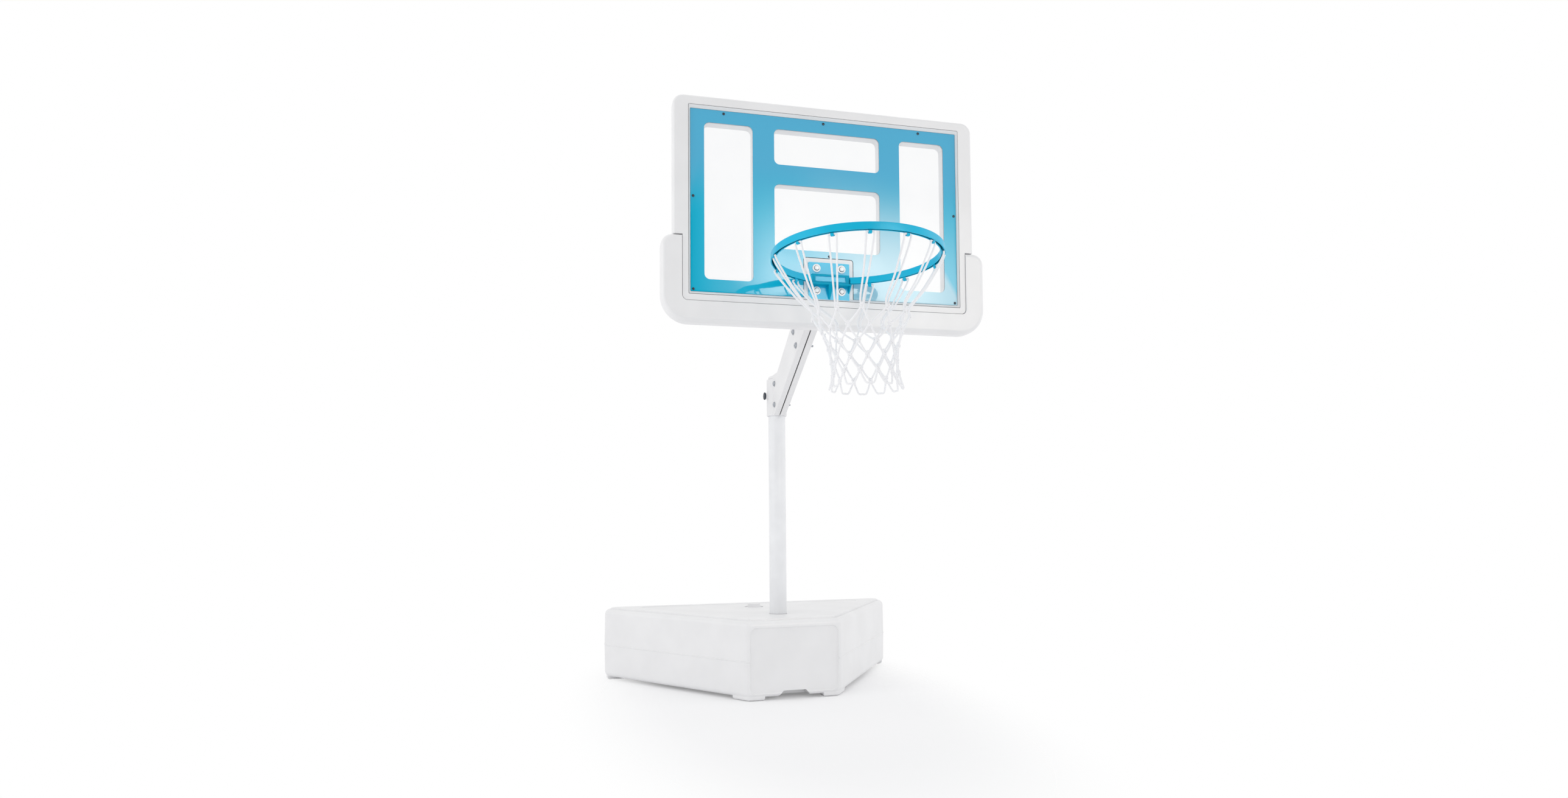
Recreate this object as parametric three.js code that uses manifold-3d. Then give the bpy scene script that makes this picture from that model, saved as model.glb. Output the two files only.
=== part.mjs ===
// Poolside basketball hoop: a water-filled tank, a pole, a clamped arm, a windowed board, a rim and its net.
// Millimetres, +Z up, +X to the right of someone who faces the board, +Y away from the pool.
// The pieces are drawn with the pole's axis at x = 0, y = 0 and the ground at z = 0.
import * as THREE from 'three';
import * as BufferGeometryUtils from 'three/addons/utils/BufferGeometryUtils.js';
import Module from 'manifold-3d';

const wasm = await Module();
wasm.setup();

// Overall places
const rim_height = 1390;
const board_reach = 645;
const pole_diameter = 65;

// Fits
const seat_gap = 0.3;
const cut_overrun = 3;
const bolt_clearance = 0.4;
const weld_tolerance = 0.003;

// Tank
const tank_turn = 3.5;
const tank_front_width = 355;
const tank_back_width = 1345;
const tank_height = 288;
const tank_front_reach = 195;
const tank_back_reach = 437;
const tank_front_corner = 34;
const tank_back_corner = 50;
const tank_ground_clearance = 12;
const tank_draft = 4;
const tank_parting_height = 140;
const tank_parting_rib = 1.2;
const tank_edge_round = 20;
const tank_ledge = 9;
const deck_rise = 6;
const deck_edge = 5;
const deck_edge_share = 0.35;
const field_front_margin = 116;
const field_side_margin = 96;
const field_back_margin = 56;
const field_depth = 2.5;
const field_corner = 30;
const foot_reach = 66;
const rear_foot_reach = 198;
const foot_chamfer = 9;
const foot_inset = 10;
const notch_width = 84;
const notch_chamfer = 20;
const notch_height = 21;
const notch_depth = 56;
const face_panel_margin = 26;
const face_panel_depth = 2;
const face_panel_round = 22;
const face_panel_bottom = 40;
const face_panel_top = 24;
const socket_clearance = 1.6;
const socket_floor = 40;

// Filler cap
const cap_offset = -20;
const cap_setback = 258;
const cap_radius = 34;
const cap_flange_thickness = 4;
const cap_edge = 1.4;
const cap_recess_depth = 9;
const cap_recess_clearance = 4;
const cap_plug_radius = 24;
const cap_plug_length = 22;
const cap_wall = 3;
const cap_grip_length = 52;
const cap_grip_width = 13;
const cap_grip_height = 20;
const cap_grip_round = 4;
const neck_clearance = 0.8;
const neck_depth = 60;
const seal_thickness = 2.4;
const seal_width = 6;

// Pole and its plugs
const pole_wall = 2.5;
const pole_above_arm_foot = 144;
const plug_wall = 3;
const plug_depth = 30;
const plug_crown = 11;
const plug_lip = 2.8;
const plug_crown_inset = 8;
const foot_plug_thickness = 4;

// Arm shells
const arm_width = 46;
const arm_wall = 5;
const arm_split = 4;
const arm_edge = 1.6;
const arm_below_rim = 348;
const arm_nose = 48;
const arm_heel_height = 155;
const arm_lower_rise = 29.5;
const arm_upper_rise = 32.5;
const arm_upper_setback = 96;
const arm_end_height = 120;
const clamp_clearance = 0.4;
const clamp_wall = 5.5;
const clamp_height = 142;
const clamp_edge = 2;
const ear_length = 28;
const ear_thickness = 7;
const ear_margin = 14;
const ear_round = 8;
const mount_foot_reach = 62;
const mount_foot_thickness = 6;
const mount_foot_round = 10;
const mount_rib_depth = 24;
const mount_rib_thickness = 5;

// Arm fasteners
const arm_bolt_radius = 4;
const arm_bolt_head_radius = 9;
const arm_bolt_head_height = 4;
const arm_bolt_washer_radius = 11;
const arm_bolt_washer_thickness = 1.6;
const head_edge_share = 0.25;
const nut_width = 13;
const nut_thickness = 6.5;
const bolt_tail = 9;
const upper_bolts_along = 365;
const upper_bolt_inset = 24;
const upper_bolt_pitch = 62;
const clamp_bolt_setback = 56;
const clamp_bolt_pitch = 80;
const clamp_bolt_lift = 7;
const sleeve_wall = 3.6;

// Lock bolt
const lock_boss_radius = 12;
const lock_boss_length = 6;
const lock_shank_radius = 5;
const lock_head_radius = 14;
const lock_head_thickness = 6;
const lock_head_flute = 1.6;
const lock_flutes = 8;

// Print and sheet
const print_width = 864;
const print_height = 559;
const print_below_rim = 62;
const print_thickness = 0.6;
const sheet_thickness = 3;
const sheet_side_margin = 5;
const sheet_end_margin = 8;
const sheet_corner = 3;
const window_round = 17;
const window_margin = 39;
const side_window_margin = 42;
const side_window_width = 151;
const centre_window_width = 343;
const top_window_height = 111;
const window_band = 62;
const centre_window_height = 201;

// Board frame
const recess_clearance = 1.5;
const frame_proud = 8;
const frame_thickness = 40;
const frame_side_border = 48;
const frame_top_border = 29;
const frame_low_side_border = 18.5;
const frame_low_border = 19;
const frame_corner = 34;
const frame_low_corner = 14;
const frame_edge = 9;
const frame_shoulder_above_rim = 108;
const back_groove_depth = 9;
const back_groove_width = 22;
const back_groove_margin = 20;
const back_groove_corner = 7;
const bar_groove_end = 26;

// Pad behind the rim bracket
const pad_width = 159;
const pad_top_above_rim = 62;
const pad_corner = 8;
const pad_gap = 1.5;

// Bumper
const bumper_seam = 1.5;
const bumper_side = 63.5;
const bumper_bottom = 66;
const bumper_proud = 4;
const bumper_edge = 14;
const bumper_low_corner = 84;
const bumper_arm_corner = 36;
const bumper_lip_thickness = 5;
const bumper_lip_overlap = 18;
const bumper_screw_rise = 110;
const bumper_screw_spread = 260;

// Small screws
const screw_radius = 2;
const screw_head_radius = 4.2;
const screw_head_height = 1.8;
const screw_length = 15;
const screw_hole_clearance = 0.3;
const top_screw_pitch = 317;
const top_screw_shift = -12.5;
const screw_edge_top = 9;
const screw_edge_side = 8;
const screw_edge_low = 7;
const side_screw_drop = 269;
const pad_screw_rise = 7;
const pad_screw_shift = 3;

// Rim bracket
const plate_width = 132;
const plate_height = 118;
const plate_thickness = 4;
const plate_edge_gap = 1.2;
const plate_corner = 2;
const rim_bolt_spread = 81;
const rim_bolt_pitch = 70;
const rim_bolt_rise = 5.3;
const block_width = 122;
const block_rise = 7;
const block_drop = 1.5;
const block_cover = 1.6;
const block_inset_width = 97;
const block_inset_height = 16;
const block_inset_depth = 3;
const shelf_thickness = 4;
const shelf_proud = 5;
const gusset_top_width = 16;
const gusset_foot_width = 4;
const gusset_height = 45;
const side_gusset_height = 24;
const side_gusset_thickness = 4;

// Rim bolts
const rim_bolt_radius = 4;
const rim_bolt_head_radius = 6;
const rim_bolt_head_height = 4;
const rim_washer_radius = 11;
const rim_washer_thickness = 3;

// Rim ring
const rim_inner_radius = 228.6;
const rim_wall = 12;
const rim_band = 20;
const rim_round = 3.2;
const rim_skin = 3;
const rim_groove = 13;
const rim_standoff = 3;
const hook_angles = [12.2, 35, 59.5, 89.5, 122.5, 150];
const hook_count = 2 * hook_angles.length;
const hook_width = 14;
const hook_thickness = 3;
const hook_drop = 12;
const hook_lip = 4;

// Net
const cord_diameter = 5.5;
const knot_radius = 7;
const knot_half_height = 11;
const net_row_drops = [163, 204, 245, 286, 325];
const net_row_radii = [134, 113, 98, 92, 93];
const net_row_angles = [-4, -10, -13, -15, -15];
const net_bottom_drop = 362;
const net_bottom_radius = 102;
const net_sway = 24;
const net_foot_half = 11;

// Facet counts
const round_steps = 28;
const rim_steps = 54;
const corner_steps = 3;
const broad_corner_steps = 6;
const edge_steps = 3;
const bumper_edge_steps = 4;
const bolt_sides = 8;
const screw_sides = 6;
const nut_sides = 6;
const washer_sides = 12;
const lock_sides = 16;
const flute_points = 4;
const cord_sides = 5;

// Places that follow from the sizes
const pole_radius = pole_diameter / 2;
const tank_top = tank_height;
const field_top = tank_top - field_depth;
const board_face = -board_reach;
const print_bottom = rim_height - print_below_rim;
const print_top = print_bottom + print_height;
const print_back = board_face + print_thickness;
const sheet_front = print_back + seat_gap;
const sheet_back = sheet_front + sheet_thickness;
const recess_floor = sheet_back + seat_gap;
const frame_front = board_face - frame_proud;
const frame_back = frame_front + frame_thickness;
const sheet_half_width = print_width / 2 + sheet_side_margin;
const sheet_bottom = print_bottom - sheet_end_margin;
const sheet_top = print_top + sheet_end_margin;
const recess_half_width = sheet_half_width + recess_clearance;
const recess_bottom = sheet_bottom - recess_clearance;
const recess_top = sheet_top + recess_clearance;
const frame_half_width = recess_half_width + frame_side_border;
const frame_low_half_width = recess_half_width + frame_low_side_border;
const frame_top = recess_top + frame_top_border;
const frame_bottom = recess_bottom - frame_low_border;
const frame_shoulder = rim_height + frame_shoulder_above_rim;
const bumper_half_width = frame_low_half_width + bumper_seam + bumper_side;
const bumper_foot = frame_bottom - bumper_seam - bumper_bottom;
const bumper_back = frame_back + seat_gap + bumper_lip_thickness;
const pad_top = rim_height + pad_top_above_rim;
const plate_bottom = recess_bottom + plate_edge_gap;
const plate_back = board_face - seat_gap;
const plate_front = plate_back - plate_thickness;
const rim_bolt_middle = plate_bottom + plate_height / 2 + rim_bolt_rise;
const rim_outer_radius = rim_inner_radius + rim_wall;
const rim_centre = plate_front - rim_standoff - rim_outer_radius;
const rim_bottom = rim_height - rim_band;
const arm_bottom = rim_height - arm_below_rim;
const arm_end = frame_back + seat_gap;
const mount_foot_bottom = rim_bolt_middle - arm_end_height / 2;
const clamp_radius = pole_radius + clamp_clearance + clamp_wall;
const clamp_bolt_middle = arm_bottom + clamp_height / 2 + clamp_bolt_lift;
const pole_top = arm_bottom + pole_above_arm_foot;
const net_pitch = 2 * Math.PI / hook_count;

const white_moulding = { color: 0xe9e9ea, roughness: 0.42, metalness: 0 };
const white_paint = { color: 0xeceeef, roughness: 0.3, metalness: 0 };
const blue_paint = { color: 0x22bfe0, roughness: 0.3, metalness: 0 };
const dark_steel = { color: 0x3a3d42, roughness: 0.45, metalness: 0.6 };
const bright_steel = { color: 0xb9bcc0, roughness: 0.3, metalness: 0.9 };
const white_cap = { color: 0xf2f2f2, roughness: 0.35, metalness: 0 };
const black_rubber = { color: 0x26282a, roughness: 0.8, metalness: 0 };
const blue_print = { color: 0x5cc0dc, roughness: 0.2, metalness: 0 };
const clear_plate = { color: 0xe8f2f6, roughness: 0.05, metalness: 0, transparent: true, opacity: 0.3 };
const white_cord = { color: 0xf4f4f6, roughness: 0.9, metalness: 0 };

// Shared vertices merged and flat triangles dropped
function welded(geometry) {
  const bare = geometry.index ? geometry.toNonIndexed() : geometry.clone();
  bare.deleteAttribute('normal');
  bare.deleteAttribute('uv');
  const merged = BufferGeometryUtils.mergeVertices(bare, weld_tolerance);
  const kept = [];
  const index = merged.index.array;
  for (let i = 0; i < index.length; i += 3) {
    const [a, b, c] = [index[i], index[i + 1], index[i + 2]];
    if (a !== b && b !== c && c !== a) kept.push(a, b, c);
  }
  merged.setIndex(kept);
  return merged;
}

// A closed geometry as a solid that can be joined and cut
function solid(geometry) {
  const mesh = welded(geometry);
  return new wasm.Manifold(new wasm.Mesh({
    numProp: 3,
    vertProperties: Float32Array.from(mesh.attributes.position.array),
    triVerts: Uint32Array.from(mesh.index.array),
  }));
}

function toGeometry(body) {
  const mesh = body.getMesh();
  const geometry = new THREE.BufferGeometry();
  geometry.setAttribute('position', new THREE.BufferAttribute(mesh.vertProperties, 3));
  geometry.setIndex(new THREE.BufferAttribute(mesh.triVerts, 1));
  const flat = geometry.toNonIndexed();
  flat.computeVertexNormals();
  return flat;
}

function joined(first, ...others) {
  return others.reduce((body, other) => body.add(other), first);
}

function cutBy(first, ...cutters) {
  return cutters.reduce((body, cutter) => body.subtract(cutter), first);
}

function mirrored(geometry) {
  const copy = welded(geometry);
  copy.scale(-1, 1, 1);
  const index = copy.index.array;
  for (let i = 0; i < index.length; i += 3) [index[i + 1], index[i + 2]] = [index[i + 2], index[i + 1]];
  return copy;
}

// Extrudes a shape; a bevel rounds its rims inside the shape's own outline
function extruded(shape, depth, edge = 0, edgeSteps = 2) {
  const geometry = new THREE.ExtrudeGeometry(shape, {
    depth: depth - 2 * edge,
    curveSegments: corner_steps,
    bevelEnabled: edge > 0,
    bevelThickness: edge,
    bevelSize: edge,
    bevelOffset: -edge,
    bevelSegments: edgeSteps,
  });
  return geometry.translate(0, 0, edge);
}

// A shape drawn in x and z, from one y to another
function facing(shape, front, back, edge, edgeSteps) {
  const geometry = extruded(shape, back - front, edge, edgeSteps);
  return geometry.rotateX(Math.PI / 2).translate(0, back, 0);
}

// A shape drawn in y and z, from one x to another
function sideways(shape, left, right, edge, edgeSteps) {
  const geometry = extruded(shape, right - left, edge, edgeSteps);
  const turn = new THREE.Matrix4().set(0, 0, 1, 0, 1, 0, 0, 0, 0, 1, 0, 0, 0, 0, 0, 1);
  return geometry.applyMatrix4(turn).translate(left, 0, 0);
}

// A shape drawn in x and y, from one z to another
function standing(shape, bottom, top, edge, edgeSteps) {
  return extruded(shape, top - bottom, edge, edgeSteps).translate(0, 0, bottom);
}

// Points of radius and height turned about the z axis
function revolved(points, steps = round_steps) {
  const profile = points.map(([radius, height]) => new THREE.Vector2(radius, height));
  return new THREE.LatheGeometry(profile, steps).rotateX(Math.PI / 2);
}

function polygon(points) {
  return new THREE.Shape(points.map(([u, v]) => new THREE.Vector2(u, v)));
}

function rectangle(left, right, low, high) {
  return polygon([[left, low], [right, low], [right, high], [left, high]]);
}

// Corners filleted by their own radii; the outline can be drawn inset
function filletedPoints(corners, radii, inset = 0, steps = corner_steps) {
  const count = corners.length;
  const inner = insetCorners(corners, inset);
  const points = [];
  for (let i = 0; i < count; i += 1) {
    const here = inner[i];
    const before = inner[(i + count - 1) % count].clone().sub(here).normalize();
    const after = inner[(i + 1) % count].clone().sub(here).normalize();
    const half = Math.acos(THREE.MathUtils.clamp(before.dot(after), -1, 1)) / 2;
    const outward = before.x * after.y - before.y * after.x < 0;
    const radius = Math.max(outward ? radii[i] - inset : radii[i] + inset, seat_gap);
    const inwards = before.clone().add(after).normalize();
    const centre = here.clone().add(inwards.multiplyScalar(radius / Math.sin(half)));
    const start = here.clone().add(before.clone().multiplyScalar(radius / Math.tan(half))).sub(centre);
    const sweep = (outward ? 1 : -1) * (Math.PI - 2 * half);
    for (let k = 0; k <= steps; k += 1) {
      points.push(start.clone().rotateAround(new THREE.Vector2(), sweep * k / steps).add(centre));
    }
  }
  return points;
}

// The corners of a counter-clockwise polygon whose sides are moved inwards
function insetCorners(corners, inset) {
  const count = corners.length;
  const lines = corners.map(([x, y], i) => {
    const [nextX, nextY] = corners[(i + 1) % count];
    const along = new THREE.Vector2(nextX - x, nextY - y).normalize();
    const inward = new THREE.Vector2(-along.y, along.x);
    return { start: new THREE.Vector2(x, y).add(inward.clone().multiplyScalar(inset)), along };
  });
  return lines.map((line, i) => {
    const other = lines[(i + count - 1) % count];
    const gap = line.start.clone().sub(other.start);
    const cross = other.along.x * line.along.y - other.along.y * line.along.x;
    const travel = (gap.x * line.along.y - gap.y * line.along.x) / cross;
    return other.start.clone().add(other.along.clone().multiplyScalar(travel));
  });
}

function filleted(corners, radii, inset = 0, steps = corner_steps) {
  const list = Array.isArray(radii) ? radii : corners.map(() => radii);
  return new THREE.Shape(filletedPoints(corners, list, inset, steps));
}

function roundRectangle(left, right, low, high, radius) {
  return filleted([[left, low], [right, low], [right, high], [left, high]], radius);
}

// Outlines stacked one above another, closed at both ends
function stacked(rings, heights) {
  const count = rings[0].length;
  const positions = [];
  rings.forEach((ring, level) => ring.forEach((p) => positions.push(p.x, p.y, heights[level])));
  const index = [];
  for (let level = 0; level + 1 < rings.length; level += 1) {
    for (let i = 0; i < count; i += 1) {
      const a = level * count + i;
      const b = level * count + (i + 1) % count;
      index.push(a, b, b + count, a, b + count, a + count);
    }
  }
  const lid = THREE.ShapeUtils.triangulateShape(rings[0], []);
  const top = (rings.length - 1) * count;
  lid.forEach(([a, b, c]) => index.push(c, b, a, top + a, top + b, top + c));
  const geometry = new THREE.BufferGeometry();
  geometry.setAttribute('position', new THREE.Float32BufferAttribute(positions, 3));
  geometry.setIndex(index);
  return geometry;
}

// A cylinder from a start point along x, y or z
function rod(axis, radius, start, length, sides = bolt_sides) {
  const geometry = new THREE.CylinderGeometry(radius, radius, length, sides).translate(0, length / 2, 0);
  return pointed(geometry, axis).translate(...start);
}

// An upright round cutter from its lower end to past the top of what it cuts
function bore(radius, start, top) {
  return solid(rod('z', radius, start, top + cut_overrun - start[2], round_steps));
}

// Turns a piece made along y so that it points along another axis
function pointed(geometry, axis) {
  if (axis === 'x') return geometry.rotateZ(-Math.PI / 2);
  if (axis === 'z') return geometry.rotateX(Math.PI / 2);
  return geometry;
}

// A bolt along y: domed head below zero, an optional washer face, and the shank above zero
function boltGeometry(headRadius, headHeight, shankRadius, length, washer = [], sides = bolt_sides) {
  const dome = headHeight * head_edge_share;
  const profile = [
    [0, -headHeight], [headRadius - dome, -headHeight], [headRadius, -headHeight + dome],
    ...(washer.length ? washer : [[headRadius, 0]]), [shankRadius, 0], [shankRadius, length], [0, length],
  ];
  return new THREE.LatheGeometry(profile.map(([r, y]) => new THREE.Vector2(r, y)), sides);
}

// Points evenly spaced on a circle
function circlePoints(radius, sides) {
  return Array.from({ length: sides }, (none, i) => {
    const angle = 2 * Math.PI * i / sides;
    return new THREE.Vector2(radius * Math.cos(angle), radius * Math.sin(angle));
  });
}

function hexNut(axis, start, boltRadius) {
  const outline = new THREE.Shape(circlePoints(nut_width / 2 / Math.cos(Math.PI / nut_sides), nut_sides));
  outline.holes.push(new THREE.Path(circlePoints(boltRadius + bolt_clearance, bolt_sides)));
  const geometry = extruded(outline, nut_thickness).rotateX(-Math.PI / 2);
  return pointed(geometry, axis).translate(...start);
}

// The hoop, and the pieces that turn with the tank about the pole's axis
const hoop = new THREE.Group();
const tankGroup = new THREE.Group();
tankGroup.rotation.z = THREE.MathUtils.degToRad(tank_turn);
hoop.add(tankGroup);

function add(name, geometry, finish, group = hoop) {
  const mesh = new THREE.Mesh(geometry, new THREE.MeshStandardMaterial(finish));
  mesh.name = name;
  group.add(mesh);
}

// Tank
function tankCorners() {
  return [
    [-tank_front_width / 2, -tank_front_reach], [tank_front_width / 2, -tank_front_reach],
    [tank_back_width / 2, tank_back_reach], [-tank_back_width / 2, tank_back_reach],
  ];
}

function tankRing(inset) {
  const radii = [tank_front_corner, tank_front_corner, tank_back_corner, tank_back_corner];
  return filletedPoints(tankCorners(), radii, inset, broad_corner_steps);
}

// Heights and insets of the wall, from the underside over the parting rib to the raised deck
function tankProfile() {
  const levels = [];
  const quarter = (height, inset, from) => {
    for (let k = 0; k <= edge_steps; k += 1) {
      const angle = from + Math.PI / 2 * k / edge_steps;
      levels.push([height + tank_edge_round * Math.sin(angle), inset - tank_edge_round * Math.cos(angle)]);
    }
  };
  const draft = tank_draft + tank_edge_round;
  const shoulder = tank_top - deck_rise;
  quarter(tank_ground_clearance + tank_edge_round, draft, -Math.PI / 2);
  levels.push([tank_parting_height - 2 * tank_parting_rib, tank_parting_rib]);
  levels.push([tank_parting_height, 0]);
  levels.push([tank_parting_height + 2 * tank_parting_rib, tank_parting_rib]);
  quarter(shoulder - tank_edge_round, draft, 0);
  levels.push([shoulder, draft + tank_ledge - deck_edge]);
  levels.push([shoulder + deck_rise / 2, draft + tank_ledge - deck_edge * deck_edge_share]);
  levels.push([tank_top, draft + tank_ledge]);
  return levels;
}

// A foot under each corner, set in from the wall, with a chamfer all round
function tankFeet() {
  const top = tankRing(foot_inset);
  const sole = tankRing(foot_inset + foot_chamfer);
  const slab = joined(
    solid(stacked([top, top], [foot_chamfer, tank_ground_clearance + tank_edge_round])),
    solid(stacked([sole, top], [0, foot_chamfer])));
  return tankCorners().map(([x, y], i) => {
    const reach = i < 2 ? foot_reach : rear_foot_reach;
    const zone = rectangle(x - reach, x + reach, y - foot_reach, y + foot_reach);
    return slab.intersect(solid(standing(zone, -cut_overrun, tank_height)));
  });
}

function handNotch() {
  const half = notch_width / 2;
  const low = tank_ground_clearance;
  const outline = polygon([
    [-half - notch_chamfer, low - cut_overrun], [half + notch_chamfer, low - cut_overrun],
    [half + notch_chamfer, low], [half, low + notch_height], [-half, low + notch_height],
    [-half - notch_chamfer, low],
  ]);
  return solid(facing(outline, -tank_front_reach - cut_overrun, -tank_front_reach + notch_depth));
}

function facePanel() {
  const half = tank_front_width / 2 - face_panel_margin;
  const high = tank_top - deck_rise - face_panel_top;
  const floor = -tank_front_reach + tank_draft / 2 + face_panel_depth;
  const outline = roundRectangle(-half, half, face_panel_bottom, high, face_panel_round);
  return solid(facing(outline, -tank_front_reach - cut_overrun, floor));
}

// A shallow field in the deck, round the pole and the filler
function deckField() {
  const slope = (tank_back_width - tank_front_width) / 2 / (tank_front_reach + tank_back_reach);
  const front = -tank_front_reach + field_front_margin;
  const back = tank_back_reach - field_back_margin;
  const inset = field_side_margin * Math.hypot(1, slope);
  const [near, far] = [front, back].map((y) => tank_front_width / 2 + slope * (y + tank_front_reach) - inset);
  const outline = filleted([[-near, front], [near, front], [far, back], [-far, back]], field_corner);
  return solid(standing(outline, tank_top - field_depth, tank_top + cut_overrun));
}

function tank() {
  const levels = tankProfile();
  const body = solid(stacked(levels.map(([, inset]) => tankRing(inset)), levels.map(([height]) => height)));
  const socket = bore(pole_radius + socket_clearance, [0, 0, socket_floor], tank_top);
  const filler = (radius, depth) => bore(radius, [cap_offset, cap_setback, field_top - depth], tank_top);
  const recess = filler(cap_radius + cap_recess_clearance, cap_recess_depth);
  const neck = filler(cap_plug_radius + neck_clearance, neck_depth);
  return cutBy(joined(body, ...tankFeet()), handNotch(), facePanel(), deckField(), socket, recess, neck);
}

// Filler cap: a flange on the seal, a hollow plug in the neck and a grip bar
function fillerCap() {
  const flange = field_top - cap_recess_depth + seat_gap + seal_thickness + seat_gap;
  const top = flange + cap_flange_thickness;
  const inner = cap_plug_radius - cap_wall;
  const body = solid(revolved([
    [0, flange + seat_gap], [inner, flange + seat_gap], [inner, flange - cap_plug_length],
    [cap_plug_radius, flange - cap_plug_length], [cap_plug_radius, flange], [cap_radius, flange],
    [cap_radius, top - cap_edge], [cap_radius - cap_edge, top], [0, top],
  ], round_steps));
  const half = cap_grip_length / 2;
  const grip = roundRectangle(-half, half, -cap_grip_width / 2, cap_grip_width / 2, cap_grip_round);
  const bar = solid(standing(grip, top - cap_edge, flange + cap_grip_height, cap_grip_round / 2));
  return toGeometry(joined(body, bar)).translate(cap_offset, cap_setback, 0);
}

function capSeal() {
  const low = field_top - cap_recess_depth + seat_gap;
  const inner = cap_plug_radius + neck_clearance;
  return revolved([
    [inner + seat_gap, low], [inner + seal_width, low], [inner + seal_width, low + seal_thickness],
    [inner + seat_gap, low + seal_thickness], [inner + seat_gap, low],
  ]).translate(cap_offset, cap_setback, 0);
}

// Pole and plugs
function poleTube() {
  const low = socket_floor + 2 * seat_gap + foot_plug_thickness;
  return revolved([
    [pole_radius - pole_wall, low], [pole_radius, low], [pole_radius, pole_top],
    [pole_radius - pole_wall, pole_top], [pole_radius - pole_wall, low],
  ]);
}

function poleTopPlug() {
  const outer = pole_radius - pole_wall - seat_gap;
  const seat = pole_top + seat_gap;
  const inner = outer - plug_wall;
  return revolved([
    [0, seat], [inner, seat], [inner, seat - plug_depth], [outer, seat - plug_depth], [outer, seat],
    [pole_radius, seat], [pole_radius, seat + plug_lip],
    [pole_radius - plug_lip, seat + plug_crown - plug_lip],
    [pole_radius - plug_crown_inset, seat + plug_crown], [0, seat + plug_crown],
  ]);
}

function poleFootPlug() {
  const outer = pole_radius - pole_wall - seat_gap;
  const low = socket_floor + seat_gap;
  const top = low + foot_plug_thickness;
  const inner = outer - plug_wall;
  return revolved([
    [0, low], [pole_radius, low], [pole_radius, top], [outer, top], [outer, top + plug_depth],
    [inner, top + plug_depth], [inner, top], [0, top],
  ]);
}

// Arm: two mirrored half shells
const lower_rise = THREE.MathUtils.degToRad(arm_lower_rise);
const upper_rise = THREE.MathUtils.degToRad(arm_upper_rise);

function armCorners() {
  const end_top = mount_foot_bottom + arm_end_height;
  const heel_top = arm_bottom + arm_heel_height;
  const lower_bend = -arm_nose - (mount_foot_bottom - arm_bottom) / Math.tan(lower_rise);
  const upper_bend = -arm_upper_setback - (end_top - heel_top) / Math.tan(upper_rise);
  return [
    [-arm_nose, arm_bottom], [0, arm_bottom], [0, heel_top], [-arm_upper_setback, heel_top],
    [upper_bend, end_top], [arm_end, end_top], [arm_end, mount_foot_bottom], [lower_bend, mount_foot_bottom],
  ];
}

// A place on the arm: so far along its lower edge from the nose, and so far in from it
function onArm(along, inset) {
  return [
    -arm_nose - along * Math.cos(lower_rise) + inset * Math.sin(lower_rise),
    arm_bottom + along * Math.sin(lower_rise) + inset * Math.cos(lower_rise),
  ];
}

function armBoltPlaces() {
  const front = -clamp_bolt_setback;
  const rear = clamp_radius + ear_length / 2;
  const low = clamp_bolt_middle - clamp_bolt_pitch / 2;
  const high = clamp_bolt_middle + clamp_bolt_pitch / 2;
  const face = arm_width / 2;
  const ear_face = arm_split / 2 + ear_thickness;
  return [
    { place: onArm(upper_bolts_along, upper_bolt_inset), face, sleeved: true },
    { place: onArm(upper_bolts_along, upper_bolt_inset + upper_bolt_pitch), face, sleeved: true },
    { place: [front, low], face, sleeved: false },
    { place: [front, high], face, sleeved: false },
    { place: [rear, low], face: ear_face, sleeved: false },
    { place: [rear, high], face: ear_face, sleeved: false },
  ];
}

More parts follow.
